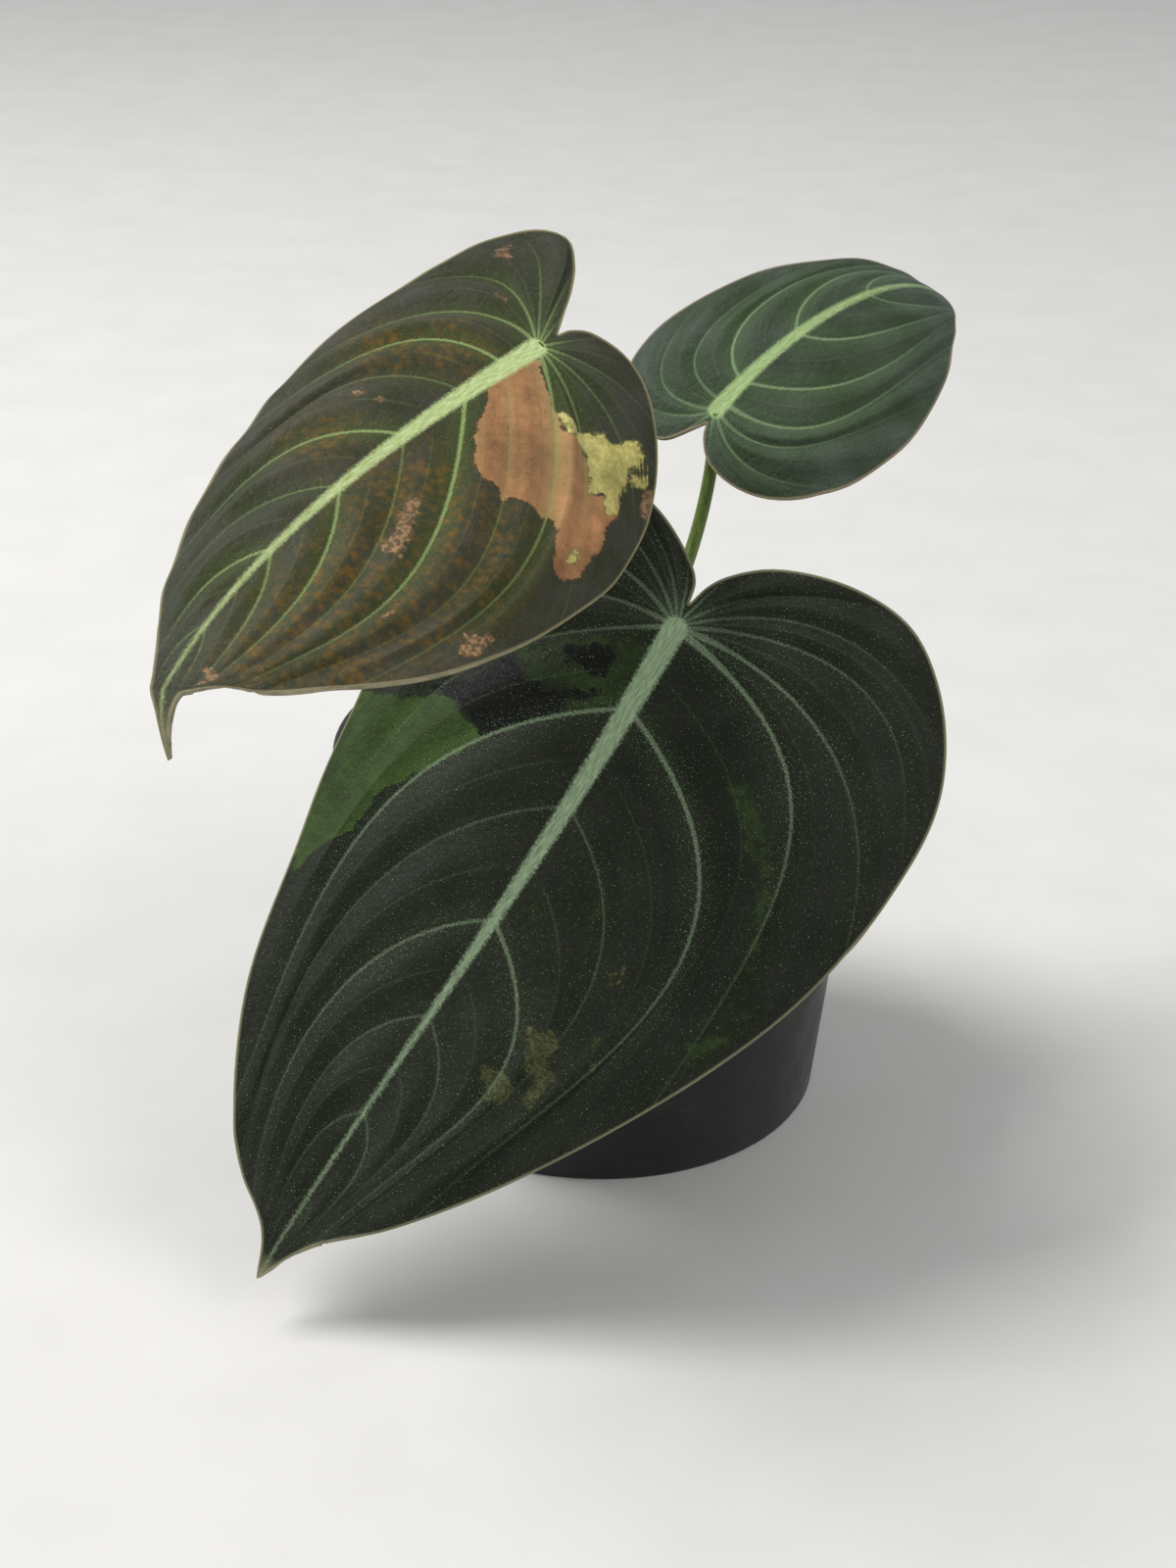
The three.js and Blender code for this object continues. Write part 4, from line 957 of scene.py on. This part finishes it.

# A leaf's colours. glow, nap, fuzz, dust: how much of each. tip: where it dries brown, mm along.
# patches: [which, colour, its veins' colour, softness in mm, raggedness, cover, share of holes]
# cloud: the lamina's second tone; on the left and small leaves it is grey, painted sheen
TONES = {
    "large": {
        "lamina": "#181d10", "cloud": "#22261b", "glow": 0.25, "glow_colour": "#2b381e",
        "vein": "#74876a", "midrib": "#708663", "midrib_light": "#a0b692", "edge": "#8a886a",
        "tip": (110, 115), "nap": 0.13, "nap_tint": "#a6aea8", "under": "#5b6440", "fuzz": 0.8,
        "dust": 0.8,
        "patches": [("hazy_patch", "#2c3d1a", "#38491f", 1.5, 8.0, 0.7, 0.3),
                    ("broad_patch", "#33471b", "#4d6630", 0.3, 3.0, 0.95, 0.0),
                    ("inner_patch", "#0a0d08", "#11170e", 0.3, 5.0, 0.97, 0.0),
                    ("small_patch", "#525732", "#5e6636", 0.4, 6.0, 0.85, 0.75)],
    },
    "left": {
        "lamina": "#2b2d19", "cloud": "#3b3b33", "glow": 0.8, "glow_colour": "#3d4a1c",
        "vein": "#8aa062", "midrib": "#a0b264", "midrib_light": "#cbdba4", "edge": "#8d8562",
        "tip": (82, 88), "nap": 0.16, "nap_tint": "#aeb0ae", "under": "#67683a", "freckle": "#70521a",
        "fuzz": 0.45, "dust": 0.4,
        "patches": [("broad_patch", "#9b6c48", "#c2a86c", 0.25, 2.6, 0.98, 0.0),
                    ("inner_patch", "#bdb266", "#d2cd8f", 0.3, 3.2, 0.95, 0.25),
                    ("small_patch", "#917252", "#a58a66", 0.22, 4.5, 0.95, 0.9)],
    },
    "small": {
        "lamina": "#2c3725", "cloud": "#414b40", "glow": 0.6, "glow_colour": "#40552e",
        "vein": "#768e66", "midrib": "#8ba562", "midrib_light": "#adc48c", "edge": "#8f8066",
        "tip": (55, 59), "nap": 0.16, "nap_tint": "#a8b4b4", "under": "#66784a", "fuzz": 0.35,
        "dust": 0.4,
        "patches": [],
    },
}


def margin_finish():
    """The leaf's cut edge: a thin, hard, dry rim, pale buff in clouds of 2 mm."""
    material, tree, shader = new_finish("leaf_margin", Roughness=0.6)
    place = add(tree, "TexCoord", out=3)
    k = add(tree, "TexNoise", {"Vector": place, "Scale": 500.0, "Detail": 3.0})
    k = add(tree, "MapRange", {0: k, 1: 0.35, 2: 0.65})
    tone = add(tree, "Mix", {0: k, 6: colour("#77755a"), 7: colour("#9a9274")}, 2, data_type="RGBA")
    tree.links.new(tone, shader.inputs["Base Color"])
    return material


def thickened(name, mesh, materials):
    """A closed mesh from a blade's upper face, as thick at each point as its "thick" value in mm."""
    if sum(polygon.normal.z * polygon.area for polygon in mesh.polygons) < 0:
        mesh.flip_normals()
    for polygon in mesh.polygons:
        polygon.use_smooth = True
    sheet = bpy.data.objects.new(name, mesh)
    bpy.context.scene.collection.objects.link(sheet)
    group = sheet.vertex_groups.new(name="thick")
    thick = np.zeros(len(mesh.vertices), np.float32)
    mesh.attributes["thick"].data.foreach_get("value", thick)
    thickest = float(thick.max())
    for i, share in enumerate(thick / thickest):
        group.add([i], float(share), "REPLACE")
    skin = sheet.modifiers.new("thickness", "SOLIDIFY")
    skin.thickness, skin.offset = thickest * MM, -1
    skin.vertex_group, skin.thickness_vertex_group = "thick", 0
    skin.material_offset, skin.material_offset_rim = 1, 2
    for material in materials:
        mesh.materials.append(material)
    bpy.context.view_layer.update()
    solid = bpy.data.meshes.new_from_object(sheet.evaluated_get(bpy.context.evaluated_depsgraph_get()))
    bpy.data.objects.remove(sheet)
    return solid


def make_leaf(size, data, margin_skin):
    """A blade with its neck as one piece, and its petiole."""
    tones = TONES[size]
    upper = leaf_finish(f"velvet_leaf_{size}", tones)
    lower = leaf_finish(f"leaf_underside_{size}", tones, under=True)
    # the left leaf's petiole takes the darkened set: painted shade
    stalk = stalk_finish(f"petiole_skin_{size}", SHADED_STALK if size == "left" else BRIGHT_STALK)
    (line, radii), (neck_line, neck_radii) = petiole_line(data)
    solid = thickened(f"sheet_{size}", make_blade(size, data), [upper, lower, margin_skin])
    pick = np.unique(np.linspace(0, len(neck_line) - 3, 8).astype(int))
    neck = tube(f"neck_{size}", neck_line[pick], neck_radii[pick])
    for polygon in neck.polygons:
        polygon.material_index = 3
    placed(f"{size}_leaf_blade", joined(f"{size}_leaf_blade", [solid, neck]),
           [upper, lower, margin_skin, stalk], f"blade_{size}_leaf")
    pick = np.unique(np.linspace(0, len(line) - 1, 48).astype(int))
    petiole = tube(f"petiole_{size}", line[pick], radii[pick])
    placed(f"{size}_leaf_petiole", petiole, [stalk], f"petiole_{size}_leaf")


def make_stem():
    """The short stem from inside the mix, ringed where old leaves fell, with a rounded top."""
    line = through([[0, 0, 34], [0, 0, 47], [0, 0, 54], [0.3, 0.2, 61], [1.2, 1.4, 69]], 24)
    z = line[:, 2]
    radii = np.where(z < 53, STEM_RADIUS, STEM_RADIUS - 0.8 * (z - 53) / 16)
    radii = radii + 0.55 * sum(np.exp(-((z - scar) / 1.3) ** 2) for scar in STEM_SCARS)
    radii = radii * np.sqrt(np.clip(1 - np.clip((z - 67.6) / 1.7, 0, 1) ** 2, 0.02, 1))
    placed("climbing_stem", tube("stem", line, radii, 36), [stalk_finish("stem_skin", OLD_STALK)],
           "stem")


margin_skin = margin_finish()
for size, data in LEAVES.items():
    make_leaf(size, data, margin_skin)
make_stem()
make_pot(pot_finish())
make_bark(bark_finish("bark_crumb", "#140d09", "#2b1b12", "#3d2a1d"),
          bark_finish("bark_chip", "#2a1911", "#5a3824", "#8a6446"))

# Stage, light and camera

def make_floor():
    """Matt pale card, 6 m square, faintly mottled."""
    bm = bmesh.new()
    bmesh.ops.create_grid(bm, x_segments=2, y_segments=2, size=3)
    mesh = bpy.data.meshes.new("floor")
    bm.to_mesh(mesh)
    bm.free()
    floor = bpy.data.objects.new("floor", mesh)
    bpy.context.scene.collection.objects.link(floor)
    card, tree, shader = new_finish("pale_card", Roughness=0.8)
    k = add(tree, "TexNoise", {"Vector": add(tree, "TexCoord", out=3), "Scale": 40.0, "Detail": 4.0})
    k = add(tree, "MapRange", {0: k, 1: 0.3, 2: 0.7})
    tone = add(tree, "Mix", {0: k, 6: colour("#d3d1cc"), 7: colour("#d8d6d2")}, 2, data_type="RGBA")
    tree.links.new(tone, shader.inputs["Base Color"])
    mesh.materials.append(card)


make_floor()
world = bpy.data.worlds.new("studio")
world.use_nodes = True
world.node_tree.nodes["Background"].inputs[0].default_value = (0.92, 0.95, 1.0, 1)
world.node_tree.nodes["Background"].inputs[1].default_value = 0.45
bpy.context.scene.world = world


def lamp(name, place, aim, size, power):
    """A round soft lamp, its size in metres and power in watts, turned to its aim."""
    light = bpy.data.lights.new(name, "AREA")
    light.shape, light.size, light.energy = "DISK", size, power
    thing = bpy.data.objects.new(name, light)
    thing.location = place
    thing.rotation_euler = (Vector(aim) - Vector(place)).to_track_quat("-Z", "Y").to_euler()
    bpy.context.scene.collection.objects.link(thing)


lamp("key", (-0.7, 0.15, 1.1), (0, 0, 0.08), 0.7, 16)
lamp("fill", (0.9, -0.7, 0.8), (0, 0, 0.08), 0.9, 6)

camera = bpy.data.objects.new("camera", bpy.data.cameras.new("camera"))
camera.data.lens, camera.data.sensor_width = 60, 36
camera.location = (-0.0025, -0.3877, 0.2394)
camera.rotation_euler = (math.radians(90 - 25.6), 0, 0)
camera.data.clip_start, camera.data.clip_end = 0.01, 20
bpy.context.scene.collection.objects.link(camera)
bpy.context.scene.camera = camera
bpy.context.scene.view_settings.view_transform = "Standard"
